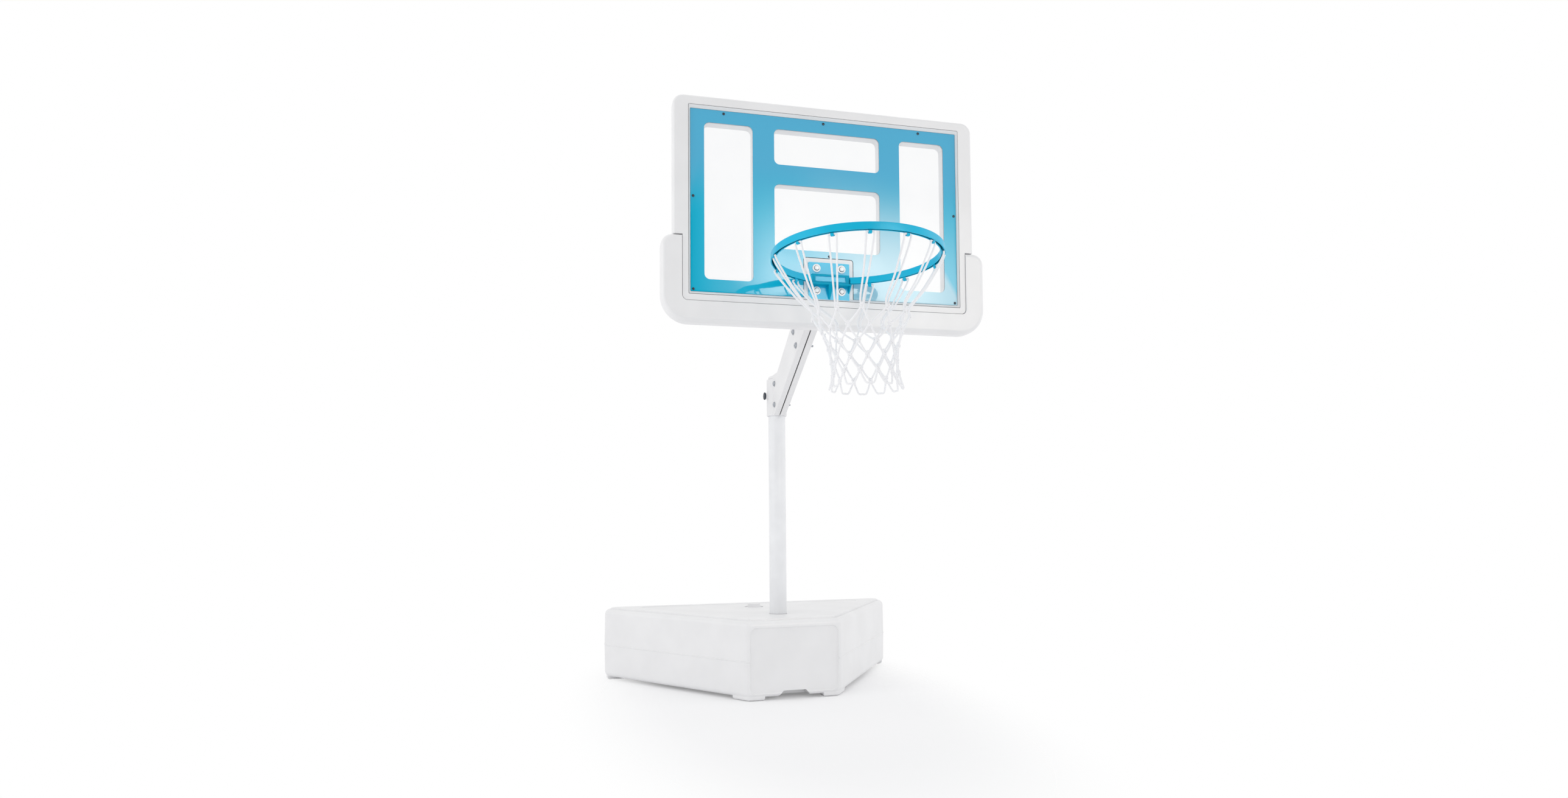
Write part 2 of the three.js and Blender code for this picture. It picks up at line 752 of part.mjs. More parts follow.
function armHalf() {
  const side = arm_split / 2;
  const face = arm_width / 2;
  const corners = armCorners();
  const skin = solid(sideways(polygon(corners), side, face, arm_edge, 2));
  const hollow = insetCorners(corners, arm_wall).map((p) => [p.x, p.y]);
  const inside = solid(sideways(polygon(hollow), side - cut_overrun, face - arm_wall));
  const top = arm_bottom + clamp_height;
  const pole_fit = pole_radius + clamp_clearance;
  const wrap = solid(revolved([
    [0, arm_bottom], [clamp_radius - clamp_edge, arm_bottom], [clamp_radius, arm_bottom + clamp_edge],
    [clamp_radius, top - clamp_edge], [clamp_radius - clamp_edge, top], [0, top],
  ]));
  const half_space = solid(sideways(
    rectangle(-2 * clamp_radius, 2 * clamp_radius, arm_bottom - cut_overrun, top + cut_overrun),
    side, 2 * clamp_radius));
  const ear_low = arm_bottom + ear_margin;
  const ear = solid(sideways(filleted(
    [[clamp_radius - clamp_wall / 2, ear_low], [clamp_radius + ear_length, ear_low],
      [clamp_radius + ear_length, top - ear_margin], [clamp_radius - clamp_wall / 2, top - ear_margin]],
    [seat_gap, ear_round, ear_round, seat_gap]), side, side + ear_thickness));
  const foot_top = mount_foot_bottom + arm_end_height;
  const foot = solid(facing(filleted(
    [[face - arm_wall, mount_foot_bottom], [mount_foot_reach, mount_foot_bottom],
      [mount_foot_reach, foot_top], [face - arm_wall, foot_top]],
    [seat_gap, mount_foot_round, mount_foot_round, seat_gap]), arm_end, arm_end + mount_foot_thickness));
  const root = arm_end + mount_foot_thickness / 2;
  const rib = solid(standing(polygon([
    [face - arm_wall / 2, root], [mount_foot_reach, root],
    [mount_foot_reach, root + mount_foot_thickness / 2], [face - arm_wall / 2, root + mount_rib_depth],
  ]), rim_bolt_middle - mount_rib_thickness / 2, rim_bolt_middle + mount_rib_thickness / 2));
  const shell = joined(skin.subtract(inside), wrap.intersect(half_space), ear, foot, rib);
  const pole_bore = bore(pole_fit, [0, 0, arm_bottom - cut_overrun], arm_bottom + arm_heel_height);
  const holes = armBoltPlaces().map(({ place }) => solid(rod('x', arm_bolt_radius + bolt_clearance,
    [side - cut_overrun, ...place], arm_width)));
  const foot_holes = [-1, 1].map((row) => solid(rod('y', rim_bolt_radius + bolt_clearance,
    [rim_bolt_spread / 2, arm_end - cut_overrun, rim_bolt_middle + row * rim_bolt_pitch / 2],
    mount_foot_thickness + 2 * cut_overrun)));
  return cutBy(shell, pole_bore, ...holes, ...foot_holes);
}

// The left half also has the boss of the lock bolt
function armLeft() {
  const half = solid(mirrored(toGeometry(armHalf())));
  const tip = -clamp_radius - lock_boss_length;
  const boss = solid(rod('x', lock_boss_radius, [tip, 0, clamp_bolt_middle],
    lock_boss_length + clamp_wall / 2, lock_sides));
  const hole = solid(rod('x', lock_shank_radius + bolt_clearance, [tip - cut_overrun, 0, clamp_bolt_middle],
    clamp_radius + lock_boss_length, lock_sides));
  return toGeometry(cutBy(joined(half, boss), hole));
}

function lockBolt() {
  const tip = -pole_radius - seat_gap;
  const seat = -clamp_radius - lock_boss_length - seat_gap;
  const outline = new THREE.Shape();
  const turns = flute_points * lock_flutes;
  for (let i = 0; i < turns; i += 1) {
    const angle = 2 * Math.PI * i / turns;
    const radius = lock_head_radius - (i % flute_points < 2 ? 0 : lock_head_flute);
    outline[i ? 'lineTo' : 'moveTo'](radius * Math.cos(angle), clamp_bolt_middle + radius * Math.sin(angle));
  }
  const head = solid(sideways(outline, seat - lock_head_thickness, seat, lock_head_flute / 2, 1));
  const start = seat - lock_head_thickness / 2;
  const shank = solid(rod('x', lock_shank_radius, [start, 0, clamp_bolt_middle], tip - start));
  return toGeometry(joined(head, shank));
}

function armFasteners() {
  armBoltPlaces().forEach(({ place, face, sleeved }, i) => {
    const seat = -face - seat_gap;
    const length = 2 * face + 2 * seat_gap + nut_thickness + bolt_tail;
    const washer = [[arm_bolt_head_radius, -arm_bolt_washer_thickness],
      [arm_bolt_washer_radius, -arm_bolt_washer_thickness], [arm_bolt_washer_radius, 0]];
    const bolt = boltGeometry(arm_bolt_head_radius, arm_bolt_head_height + arm_bolt_washer_thickness,
      arm_bolt_radius, length, washer);
    add(`arm_bolt_${i + 1}`, pointed(bolt, 'x').translate(seat, ...place), bright_steel);
    add(`arm_nut_${i + 1}`, hexNut('x', [face + seat_gap, ...place], arm_bolt_radius), bright_steel);
    if (!sleeved) return;
    const half = arm_width / 2 - arm_wall - seat_gap;
    const inner = arm_bolt_radius + bolt_clearance;
    const outer = inner + sleeve_wall;
    const tube = revolved([[inner, -half], [outer, -half], [outer, half], [inner, half], [inner, -half]],
      bolt_sides).rotateY(Math.PI / 2).translate(0, ...place);
    add(`arm_sleeve_${i + 1}`, tube, bright_steel);
  });
}

// Board windows, as left, right, low and high
function windows() {
  const centre_half = centre_window_width / 2;
  const outer = print_width / 2 - side_window_margin;
  const inner = outer - side_window_width;
  const high = print_top - window_margin;
  const low = print_bottom + window_margin;
  const band_top = high - top_window_height;
  const centre_top = band_top - window_band;
  return [
    [-outer, -inner, low, high], [inner, outer, low, high],
    [-centre_half, centre_half, band_top, high],
    [-centre_half, centre_half, centre_top - centre_window_height, centre_top],
  ];
}

function windowCutters(front, back) {
  return windows().map((edges) => solid(facing(roundRectangle(...edges, window_round), front, back)));
}

// Places of the sheet's screws as x and z
function sheetScrewPlaces() {
  const side = print_width / 2 - screw_edge_side;
  const top = print_top - screw_edge_top;
  const middle = print_top - side_screw_drop;
  const low = print_bottom + screw_edge_low;
  const row = [-1, 0, 1].map((step) => [top_screw_shift + step * top_screw_pitch, top]);
  return [...row, [-side, middle], [side, middle], [-side, low], [side, low],
    [pad_screw_shift, pad_top + pad_screw_rise]];
}

function screwCutters(front, back) {
  return sheetScrewPlaces().map(([x, z]) => solid(rod('y', screw_radius + screw_hole_clearance,
    [x, front, z], back - front, screw_sides)));
}

// A thin plate of the board with the notch for the pad, cut down to its lower edge
function notchedPlate(half_width, low, high, corner, front, back) {
  const plate = solid(facing(roundRectangle(-half_width, half_width, low, high, corner), front, back));
  const half = pad_width / 2 + pad_gap;
  const notch = solid(facing(roundRectangle(-half, half, low - 2 * pad_corner, pad_top + pad_gap, pad_corner),
    front - cut_overrun, back + cut_overrun));
  return cutBy(plate, notch, ...screwCutters(front - cut_overrun, back + cut_overrun));
}

function printFilm() {
  const film = notchedPlate(print_width / 2, print_bottom, print_top, sheet_corner, board_face, print_back);
  return toGeometry(cutBy(film, ...windowCutters(board_face - cut_overrun, print_back + cut_overrun)));
}

function clearSheet() {
  return toGeometry(notchedPlate(sheet_half_width, sheet_bottom, sheet_top, sheet_corner,
    sheet_front, sheet_back));
}

// Outline of the frame: wide above the bumper's arms, narrow between them
function frameOutline() {
  return filleted([
    [-frame_low_half_width, frame_bottom], [frame_low_half_width, frame_bottom],
    [frame_low_half_width, frame_shoulder], [frame_half_width, frame_shoulder],
    [frame_half_width, frame_top], [-frame_half_width, frame_top],
    [-frame_half_width, frame_shoulder], [-frame_low_half_width, frame_shoulder],
  ], [frame_low_corner, frame_low_corner, 1, 1, frame_corner, frame_corner, 1, 1]
    .map((radius) => Math.max(radius, seat_gap)));
}

// Stiffening grooves in the back: one round the border and one in each upright bar
function backGrooves() {
  const outer = frame_half_width - back_groove_margin;
  const inner = outer - back_groove_width;
  const high = frame_top - back_groove_margin;
  const front = frame_back - back_groove_depth;
  const low = frame_shoulder + back_groove_margin;
  const border = polygon([
    [-outer, low], [-inner, low], [-inner, high - back_groove_width], [inner, high - back_groove_width],
    [inner, low], [outer, low], [outer, high], [-outer, high],
  ]);
  const [, [window_left, , window_low, window_high], , [, centre_right]] = windows();
  const bar = (window_left + centre_right) / 2;
  const bar_low = window_low + bar_groove_end;
  const bar_high = window_high - bar_groove_end;
  const bars = [-1, 1].map((side) => {
    const [left, right] = [-1, 1].map((edge) => side * bar + edge * back_groove_width / 2);
    return solid(facing(roundRectangle(left, right, bar_low, bar_high, back_groove_corner),
      front, frame_back + cut_overrun));
  });
  return [solid(facing(border, front, frame_back + cut_overrun)), ...bars];
}

function boardFrame() {
  const outline = filleted([
    [-frame_half_width, bumper_foot], [frame_half_width, bumper_foot],
    [frame_half_width, frame_top], [-frame_half_width, frame_top],
  ], [frame_corner, frame_corner, frame_corner, frame_corner]);
  const block = solid(facing(outline, frame_front, frame_back, frame_edge, edge_steps));
  const [before, behind] = [frame_front - cut_overrun, frame_back + cut_overrun];
  const body = block.intersect(solid(facing(frameOutline(), before, behind)));
  const recess = solid(facing(roundRectangle(-recess_half_width, recess_half_width, recess_bottom, recess_top,
    sheet_corner), frame_front - cut_overrun, recess_floor));
  const pad = solid(facing(roundRectangle(-pad_width / 2, pad_width / 2, recess_bottom - pad_corner, pad_top,
    pad_corner), board_face, recess_floor + cut_overrun));
  const bolt_holes = rimBoltPlaces().map(([x, z]) => solid(rod('y', rim_bolt_radius + bolt_clearance,
    [x, frame_front - cut_overrun, z], frame_thickness + 2 * cut_overrun)));
  const pilot = bumperScrewPlaces().map(([x, z]) => solid(rod('y', screw_radius + screw_hole_clearance,
    [x, frame_back - screw_length, z], screw_length + cut_overrun, screw_sides)));
  return toGeometry(cutBy(joined(body.subtract(recess), pad),
    ...windowCutters(before, behind),
    ...screwCutters(recess_floor - cut_overrun, board_face + screw_length + seat_gap),
    ...bolt_holes, ...pilot, ...backGrooves()));
}

// Bumper: a U round the frame's lower half, with a lip that laps behind it
function bumperNotch(shift, front, back) {
  const half = frame_low_half_width + bumper_seam - shift;
  const low = frame_bottom - bumper_seam + shift;
  const corner = frame_low_corner + bumper_seam;
  const high = frame_shoulder + 2 * bumper_arm_corner;
  return solid(facing(filleted([[-half, low], [half, low], [half, high], [-half, high]],
    [corner, corner, seat_gap, seat_gap]), front, back));
}

function bumper() {
  const high = frame_shoulder - bumper_seam;
  const outline = filleted([
    [-bumper_half_width, bumper_foot], [bumper_half_width, bumper_foot],
    [bumper_half_width, high], [-bumper_half_width, high],
  ], [bumper_low_corner, bumper_low_corner, bumper_arm_corner, bumper_arm_corner], 0, broad_corner_steps);
  const front = frame_front - bumper_proud;
  const body = solid(facing(outline, front, bumper_back, bumper_edge, bumper_edge_steps));
  const screws = bumperScrewPlaces().map(([x, z]) => solid(rod('y', screw_radius + screw_hole_clearance,
    [x, frame_back - cut_overrun, z], bumper_back - frame_back + 2 * cut_overrun, screw_sides)));
  return toGeometry(cutBy(body, bumperNotch(0, front - cut_overrun, frame_back + seat_gap),
    bumperNotch(bumper_lip_overlap, front - cut_overrun, bumper_back + cut_overrun), ...screws));
}

// Places of the bumper's screws, in its rear lip
function bumperScrewPlaces() {
  const side = frame_low_half_width + bumper_seam - bumper_lip_overlap / 2;
  const low = frame_bottom - bumper_seam + bumper_lip_overlap / 2;
  return [
    [-side, low + bumper_screw_rise], [side, low + bumper_screw_rise],
    [-bumper_screw_spread, low], [bumper_screw_spread, low],
  ];
}

function smallScrew() {
  return new THREE.LatheGeometry([
    [0, -screw_head_height], [screw_head_radius, -screw_head_height], [screw_head_radius, 0],
    [screw_radius, 0], [screw_radius, screw_length - cut_overrun], [0, screw_length - cut_overrun],
  ].map(([r, y]) => new THREE.Vector2(r, y)), screw_sides);
}

function smallScrews() {
  sheetScrewPlaces().forEach(([x, z], i) => {
    const screw = smallScrew();
    add(`sheet_screw_${i + 1}`, screw.translate(x, board_face - seat_gap, z), dark_steel);
  });
  bumperScrewPlaces().forEach(([x, z], i) => {
    const screw = smallScrew().rotateX(Math.PI).translate(x, bumper_back + seat_gap, z);
    add(`bumper_screw_${i + 1}`, screw, bright_steel);
  });
}

// Rim bracket
function rimBoltPlaces() {
  return [[-1, 1], [1, 1], [-1, -1], [1, -1]].map(([column, row]) => [
    column * rim_bolt_spread / 2, rim_bolt_middle + row * rim_bolt_pitch / 2,
  ]);
}

function rimBracket() {
  const half = plate_width / 2;
  const root = plate_front + plate_thickness / 2;
  const plate_top = plate_bottom + plate_height;
  const plate = solid(facing(roundRectangle(-half, half, plate_bottom, plate_top, plate_corner),
    plate_front, plate_back));
  const block_top = rim_height + block_rise;
  const block_low = rim_bottom - block_drop;
  const block_front = rim_centre + rim_inner_radius - block_cover;
  const block_half = block_width / 2;
  const block = solid(facing(roundRectangle(-block_half, block_half, block_low, block_top, plate_corner),
    block_front, root, plate_corner / 2, 1));
  const inset_middle = (block_top + block_low) / 2;
  const inset = solid(facing(rectangle(-block_inset_width / 2, block_inset_width / 2,
    inset_middle - block_inset_height / 2, inset_middle + block_inset_height / 2),
  block_front - cut_overrun, block_front + block_inset_depth));
  const shelf_front = block_front - shelf_proud;
  const shelf_low = block_low - shelf_thickness;
  const shelf = solid(facing(rectangle(-half, half, shelf_low, block_low + seat_gap), shelf_front, root));
  const holes = rimBoltPlaces().map(([x, z]) => solid(rod('y', rim_bolt_radius + bolt_clearance,
    [x, plate_front - cut_overrun, z], plate_thickness + 2 * cut_overrun)));
  const webs = rimGussets(shelf_front, shelf_low, root);
  return toGeometry(cutBy(joined(plate, block.subtract(inset), shelf, ...webs), ...holes));
}

// A web that tapers downwards in the middle, and a small one at each edge of the plate
function rimGussets(shelf_front, shelf_low, root) {
  const under = shelf_low + shelf_thickness / 2;
  const half = plate_width / 2;
  const foot = under - gusset_height;
  const web = solid(facing(polygon([
    [-gusset_foot_width / 2, foot], [gusset_foot_width / 2, foot],
    [gusset_top_width / 2, under], [-gusset_top_width / 2, under],
  ]), shelf_front, root));
  const slope = solid(sideways(polygon([
    [shelf_front - cut_overrun, foot - cut_overrun], [plate_front - seat_gap, foot],
    [shelf_front, shelf_low], [shelf_front - cut_overrun, shelf_low],
  ]), -half, half));
  const side = polygon([[shelf_front, under], [root, under - side_gusset_height], [root, under]]);
  const edges = [-half, half - side_gusset_thickness].map(
    (left) => solid(sideways(side, left, left + side_gusset_thickness)));
  return [web.subtract(slope), ...edges];
}

function rimBolts() {
  const seat = plate_front - seat_gap;
  const head = seat - rim_washer_thickness - seat_gap;
  const nut = arm_end + mount_foot_thickness + seat_gap;
  rimBoltPlaces().forEach(([x, z], i) => {
    const bolt = boltGeometry(rim_bolt_head_radius, rim_bolt_head_height, rim_bolt_radius,
      nut + nut_thickness + bolt_tail - head);
    add(`rim_bolt_${i + 1}`, bolt.translate(x, head, z), white_cap);
    const inner = rim_bolt_radius + bolt_clearance;
    const face = rim_washer_thickness / 2;
    const washer = new THREE.LatheGeometry([
      [inner, 0], [inner, -rim_washer_thickness], [rim_washer_radius - face, -rim_washer_thickness],
      [rim_washer_radius, -face], [rim_washer_radius, 0], [inner, 0],
    ].map(([r, y]) => new THREE.Vector2(r, y)), washer_sides);
    add(`rim_washer_${i + 1}`, washer.translate(x, seat, z), white_cap);
    add(`rim_nut_${i + 1}`, hexNut('y', [x, nut, z], rim_bolt_radius), bright_steel);
  });
}

// Rim: a band open below, ended at the bracket's block, with J hooks that stand closer together at the front
function hookAngle(i) {
  const half = hook_angles.length;
  const place = i < half ? -hook_angles[half - 1 - i] : hook_angles[i - half];
  return THREE.MathUtils.degToRad(place) - Math.PI / 2;
}

const hook_face = rim_inner_radius + rim_skin + seat_gap;
const bight_radius = hook_face + hook_thickness + seat_gap + cord_diameter / 2;
const bight_drop = hook_drop - hook_thickness - seat_gap - cord_diameter / 2;

function rimHook() {
  const inner = hook_face;
  const outer = bight_radius + cord_diameter / 2 + seat_gap + hook_thickness;
  const low = rim_bottom - hook_drop;
  const root = rim_bottom + rim_groove + seat_gap;
  const outline = polygon([
    [inner, low], [outer, low], [outer, low + hook_thickness + hook_lip],
    [outer - hook_thickness, low + hook_thickness + hook_lip], [outer - hook_thickness, low + hook_thickness],
    [inner + hook_thickness, low + hook_thickness], [inner + hook_thickness, root], [inner, root],
  ]);
  return facing(outline, -hook_width / 2, hook_width / 2);
}

function rimRing() {
  const [inner, outer] = [rim_inner_radius, rim_outer_radius];
  const groove_top = rim_bottom + rim_groove;
  const band = solid(revolved([
    [outer, rim_bottom], [outer, rim_height - rim_round], [outer - rim_round, rim_height],
    [inner + rim_round, rim_height], [inner, rim_height - rim_round], [inner, rim_bottom],
    [inner + rim_skin, rim_bottom], [inner + rim_skin, groove_top], [outer - rim_skin, groove_top],
    [outer - rim_skin, rim_bottom], [outer, rim_bottom],
  ], rim_steps));
  const hooks = Array.from({ length: hook_count }, (none, i) => solid(rimHook().rotateZ(hookAngle(i))));
  const half = block_width / 2 + seat_gap;
  const ends = solid(standing(rectangle(-half, half, 0, rim_outer_radius + cut_overrun),
    rim_bottom - hook_drop - cut_overrun, rim_height + block_rise));
  return toGeometry(joined(band, ...hooks).subtract(ends)).translate(0, rim_centre, 0);
}

// Net: top loops, crossing strands down to the last knots, and bottom loops; it sways more the lower it hangs
function onRing(radius, angle, drop, aside = 0) {
  const sway = net_sway * (drop - bight_drop) / (net_bottom_drop - bight_drop);
  return new THREE.Vector3(
    radius * Math.cos(angle) - aside * Math.sin(angle) + sway,
    radius * Math.sin(angle) + aside * Math.cos(angle),
    rim_bottom - drop);
}

// A cord through some points, with an equal number of steps in each span
function cord(points, steps) {
  const section = new THREE.Shape(circlePoints(cord_diameter / 2, cord_sides));
  const route = new THREE.CatmullRomCurve3(points, false, 'centripetal');
  route.getPointAt = route.getPoint;
  route.getTangentAt = route.getTangent;
  const spans = points.length - 1;
  return solid(new THREE.ExtrudeGeometry(section, { steps: steps * spans, extrudePath: route }));
}

// Where a knot lies, counted round from behind the bracket; the net is slightly twisted
function netAngle(row, place) {
  return Math.PI / 2 + place * net_pitch + THREE.MathUtils.degToRad(net_row_angles[row]);
}

function netKnotPlace(row, place, aside = 0) {
  return onRing(net_row_radii[row], netAngle(row, place), net_row_drops[row], aside);
}

function netKnot(row, place) {
  const middle = netKnotPlace(row, place);
  const knot = new THREE.OctahedronGeometry(knot_radius).scale(1, 1, knot_half_height / knot_radius);
  return solid(knot.rotateZ(netAngle(row, place)).translate(middle.x, middle.y, middle.z));
}

// A loop over one hook, whose two legs come together in a knot of the first row
function netTopLoop(i) {
  const hook = hookAngle(i);
  const leg = hook_width / 2 + 2 * seat_gap + cord_diameter / 2;
  const low = (side) => onRing(bight_radius, hook, bight_drop + cord_diameter, side * leg);
  const high = (side) => onRing(bight_radius, hook, bight_drop, side * leg);
  const end = (side) => netKnotPlace(0, i + 1 / 2, side * (cord_diameter / 2 + seat_gap));
  return cord([end(-1), low(-1), high(-1), high(1), low(1), end(1)], 1);
}

// A strand from one knot to a knot of the row below
function netStrand(row, place, side) {
  return cord([netKnotPlace(row, place), netKnotPlace(row + 1, place + side / 2)], 1);
}

function netBottomLoop(place) {
  const last = net_row_drops.length - 1;
  const angle = netAngle(last, place + 1 / 2);
  const foot = (side) => onRing(net_bottom_radius, angle, net_bottom_drop, side * net_foot_half);
  return cord([netKnotPlace(last, place), foot(-1), foot(1), netKnotPlace(last, place + 1)], 1);
}

function net() {
  const parts = [];
  for (let i = 0; i < hook_count; i += 1) {
    parts.push(netTopLoop(i));
    net_row_drops.forEach((drop, row) => {
      const place = i + (row + 1) / 2;
      parts.push(netKnot(row, place));
      if (row + 1 < net_row_drops.length) parts.push(netStrand(row, place, -1), netStrand(row, place, 1));
      else parts.push(netBottomLoop(place));
    });
  }
  return toGeometry(joined(...parts)).translate(0, rim_centre, 0);
}

add('base_tank', toGeometry(tank()), white_moulding, tankGroup);
add('filler_cap', fillerCap(), white_moulding, tankGroup);
add('cap_seal', capSeal(), black_rubber, tankGroup);
add('pole', poleTube(), white_paint);
add('pole_top_plug', poleTopPlug(), white_moulding);
add('pole_foot_plug', poleFootPlug(), black_rubber);
add('arm_right', toGeometry(armHalf()), white_moulding);
add('arm_left', armLeft(), white_moulding);
add('lock_bolt', lockBolt(), dark_steel);
armFasteners();
add('board_frame', boardFrame(), white_moulding);
add('clear_sheet', clearSheet(), clear_plate);
add('print_film', printFilm(), blue_print);
add('bumper', bumper(), white_moulding);
smallScrews();
add('rim_bracket', rimBracket(), blue_paint);
add('rim_ring', rimRing(), blue_paint);
rimBolts();
add('net', net(), white_cord);

// The origin goes to the middle of the footprint, on the ground
const box = new THREE.Box3().setFromObject(hoop, true);
hoop.position.set(-(box.min.x + box.max.x) / 2, -(box.min.y + box.max.y) / 2, -box.min.z);

export default hoop;
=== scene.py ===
"""Poolside basketball hoop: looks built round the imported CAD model.

Metres, +Z up, +X to the right of someone who faces the board. Every piece is made where its CAD node lies.
"""

import math

import bmesh
import bpy
from bpy.props import FloatProperty, FloatVectorProperty, PointerProperty
from mathutils import Matrix, Vector


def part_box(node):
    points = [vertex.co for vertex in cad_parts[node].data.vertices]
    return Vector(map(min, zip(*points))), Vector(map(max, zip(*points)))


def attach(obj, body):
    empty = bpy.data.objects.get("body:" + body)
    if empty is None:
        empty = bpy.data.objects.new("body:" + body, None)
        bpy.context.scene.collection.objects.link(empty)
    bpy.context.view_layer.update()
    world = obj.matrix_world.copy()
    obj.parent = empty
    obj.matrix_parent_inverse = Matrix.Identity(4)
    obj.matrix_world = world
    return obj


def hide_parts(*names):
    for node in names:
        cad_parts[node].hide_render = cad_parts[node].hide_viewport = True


bl_info = {
    "name": "Poolside basketball hoop",
    "version": (1, 0, 0),
    "blender": (4, 5, 0),
    "location": "View3D > Sidebar > Hoop",
    "description": "Builds the looks of a poolside basketball hoop round its CAD model",
    "category": "Add Mesh",
}

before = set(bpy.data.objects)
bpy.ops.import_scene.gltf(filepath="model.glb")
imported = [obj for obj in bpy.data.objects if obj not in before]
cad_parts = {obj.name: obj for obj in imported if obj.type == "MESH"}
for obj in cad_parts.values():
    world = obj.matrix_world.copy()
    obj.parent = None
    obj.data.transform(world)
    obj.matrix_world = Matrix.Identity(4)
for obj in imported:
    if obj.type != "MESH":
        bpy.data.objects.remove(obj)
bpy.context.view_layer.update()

MM = 0.001
OVERRUN = 9 * MM  # how far a cutter reaches past what it cuts
SLACK = 0.3 * MM  # gap between parts that fit together

pole_low, pole_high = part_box("pole")
POLE_X = (pole_low.x + pole_high.x) / 2
POLE_Y = (pole_low.y + pole_high.y) / 2


def middle_of(node):
    low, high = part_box(node)
    return (low + high) / 2


def mm(*points):
    """Points that are typed in millimetres."""
    return [tuple(c * MM for c in point) for point in points]


def size(name, description, default):
    """A length that a user may change, given in millimetres."""
    return FloatProperty(name=name, description=description, default=default * MM, unit="LENGTH", precision=4)


def colour(name, description, default):
    """A colour that a user may change, given as it looks on a screen."""
    linear = [((c / 255 + 0.055) / 1.055) ** 2.4 if c > 10 else c / 255 / 12.92 for c in default]
    return FloatVectorProperty(name=name, description=description, subtype="COLOR", min=0, max=1, default=linear)


# Outlines


def full_turn(steps):
    return [2 * math.pi * k / steps for k in range(steps)]


def quarter_turn(steps):
    return [math.pi / 2 * k / steps for k in range(steps + 1)]


def rounding(radius, steps):
    """Insets and depths along a quarter round, from a face's edge into its side."""
    return [(radius * (1 - math.sin(a)), radius * (1 - math.cos(a))) for a in quarter_turn(steps)]


def inset_corners(corners, inset):
    """The corners of a counter-clockwise polygon whose sides are moved inwards."""
    lines = []
    for (x, y), (next_x, next_y) in zip(corners, corners[1:] + corners[:1]):
        along = Vector((next_x - x, next_y - y)).normalized()
        lines.append((Vector((x, y)) + inset * Vector((-along.y, along.x)), along))
    moved = []
    for i, (start, along) in enumerate(lines):
        other_start, other_along = lines[i - 1]
        gap = start - other_start
        travel = (gap.x * along.y - gap.y * along.x) / (other_along.x * along.y - other_along.y * along.x)
        moved.append(other_start + travel * other_along)
    return moved


def filleted(corners, radii, inset, steps):
    """Points of a counter-clockwise polygon with its corners filleted, drawn inset."""
    radii = radii if isinstance(radii, (list, tuple)) else [radii] * len(corners)
    inner = inset_corners(corners, inset)
    least = 0.3 * MM
    points = []
    for i, here in enumerate(inner):
        before = (inner[i - 1] - here).normalized()
        after = (inner[(i + 1) % len(inner)] - here).normalized()
        half = math.acos(max(-1, min(1, before.dot(after)))) / 2
        outward = before.x * after.y - before.y * after.x < 0
        radius = max(radii[i] - inset if outward else radii[i] + inset, least)
        centre = here + (before + after).normalized() * (radius / math.sin(half))
        start = here + before * (radius / math.tan(half)) - centre
        sweep = (1 if outward else -1) * (math.pi - 2 * half)
        for k in range(steps + 1):
            points.append(centre + Matrix.Rotation(sweep * k / steps, 2) @ start)
    return points


def box_corners(left, right, low, high):
    return [(left, low), (right, low), (right, high), (left, high)]


# Meshes


def facing(points, depth):
    """A ring drawn in x and z at a depth y."""
    return [Vector((p[0], depth, p[1])) for p in points]


def standing(points, height):
    """A ring drawn in x and y at a height z."""
    return [Vector((p[0], p[1], height)) for p in points]


def new_object(name, data):
    piece = bpy.data.objects.new(name, data)
    bpy.context.scene.collection.objects.link(piece)
    return piece


def from_bmesh(name, form):
    bmesh.ops.recalc_face_normals(form, faces=form.faces)
    mesh = bpy.data.meshes.new(name)
    form.to_mesh(mesh)
    form.free()
    return new_object(name, mesh)


def skin_rows(form, rows, closed=False, lids=True):
    """Faces between rows of vertices; open rows get a lid at each end, and one vertex repeated makes a tip."""
    for low, high in list(zip(rows, rows[1:])) + ([(rows[-1], rows[0])] if closed else []):
        for i in range(len(low)):
            corner = [low[i - 1], low[i], high[i], high[i - 1]]
            kept = [v for k, v in enumerate(corner) if v is not corner[k - 1]]
            if len(kept) > 2:
                form.faces.new(kept)
    if lids and not closed:
        form.faces.new(reversed(rows[0]))
        form.faces.new(rows[-1])


def lofted(name, rings, closed=False):
    """A solid through rings of points; a closed one runs from its last ring back to its first."""
    form = bmesh.new()
    skin_rows(form, [[form.verts.new(p) for p in ring] for ring in rings], closed)
    return from_bmesh(name, form)


def stacked(name, draw, corners, radii, levels, steps=8, closed=False):
    """A solid through filleted outlines, facing or standing, each at its own inset and level."""
    return lofted(name, [draw(filleted(corners, radii, inset, steps), level) for inset, level in levels], closed)


def opening(corners, radii, front, back, steps=8):
    """A straight cutter that runs from front to back."""
    return stacked("cutter", facing, corners, radii, [(0, front), (0, back)], steps)


def plate_facing(name, corners, radii, front, back, edge, steps=4, corner_steps=8):
    """A plate seen from the front with its edges rounded."""
    levels = [(inset, front + depth) for inset, depth in rounding(edge, steps)]
    levels += [(inset, back - depth) for depth, inset in rounding(edge, steps)]
    return stacked(name, facing, corners, radii, levels, corner_steps)


def eased_cutter(corners, radii, lip, ease, front, back, steps):
    """A cutter for a recess whose mouth widens by a lip in two slopes."""
    over = 5 * MM
    levels = [(-lip - over, front - over), (-lip, front), (-lip * ease, front + lip * 0.3),
              (0, front + lip), (0, back)]
    return stacked("cutter", facing, corners, radii, levels, steps)


def revolved(name, profile, steps, place=Matrix.Identity(4)):
    """Points of radius and height turned about the vertical; a profile off the axis closes on itself."""
    form = bmesh.new()
    rows = []
    for radius, height in profile:
        if radius:
            rows.append([form.verts.new((radius * math.cos(a), radius * math.sin(a), height))
                         for a in full_turn(steps)])
        else:
            rows.append([form.verts.new((0, 0, height))] * steps)
    skin_rows(form, rows, closed=profile[0][0] > 0, lids=False)
    piece = from_bmesh(name, form)
    piece.data.transform(place)
    return piece


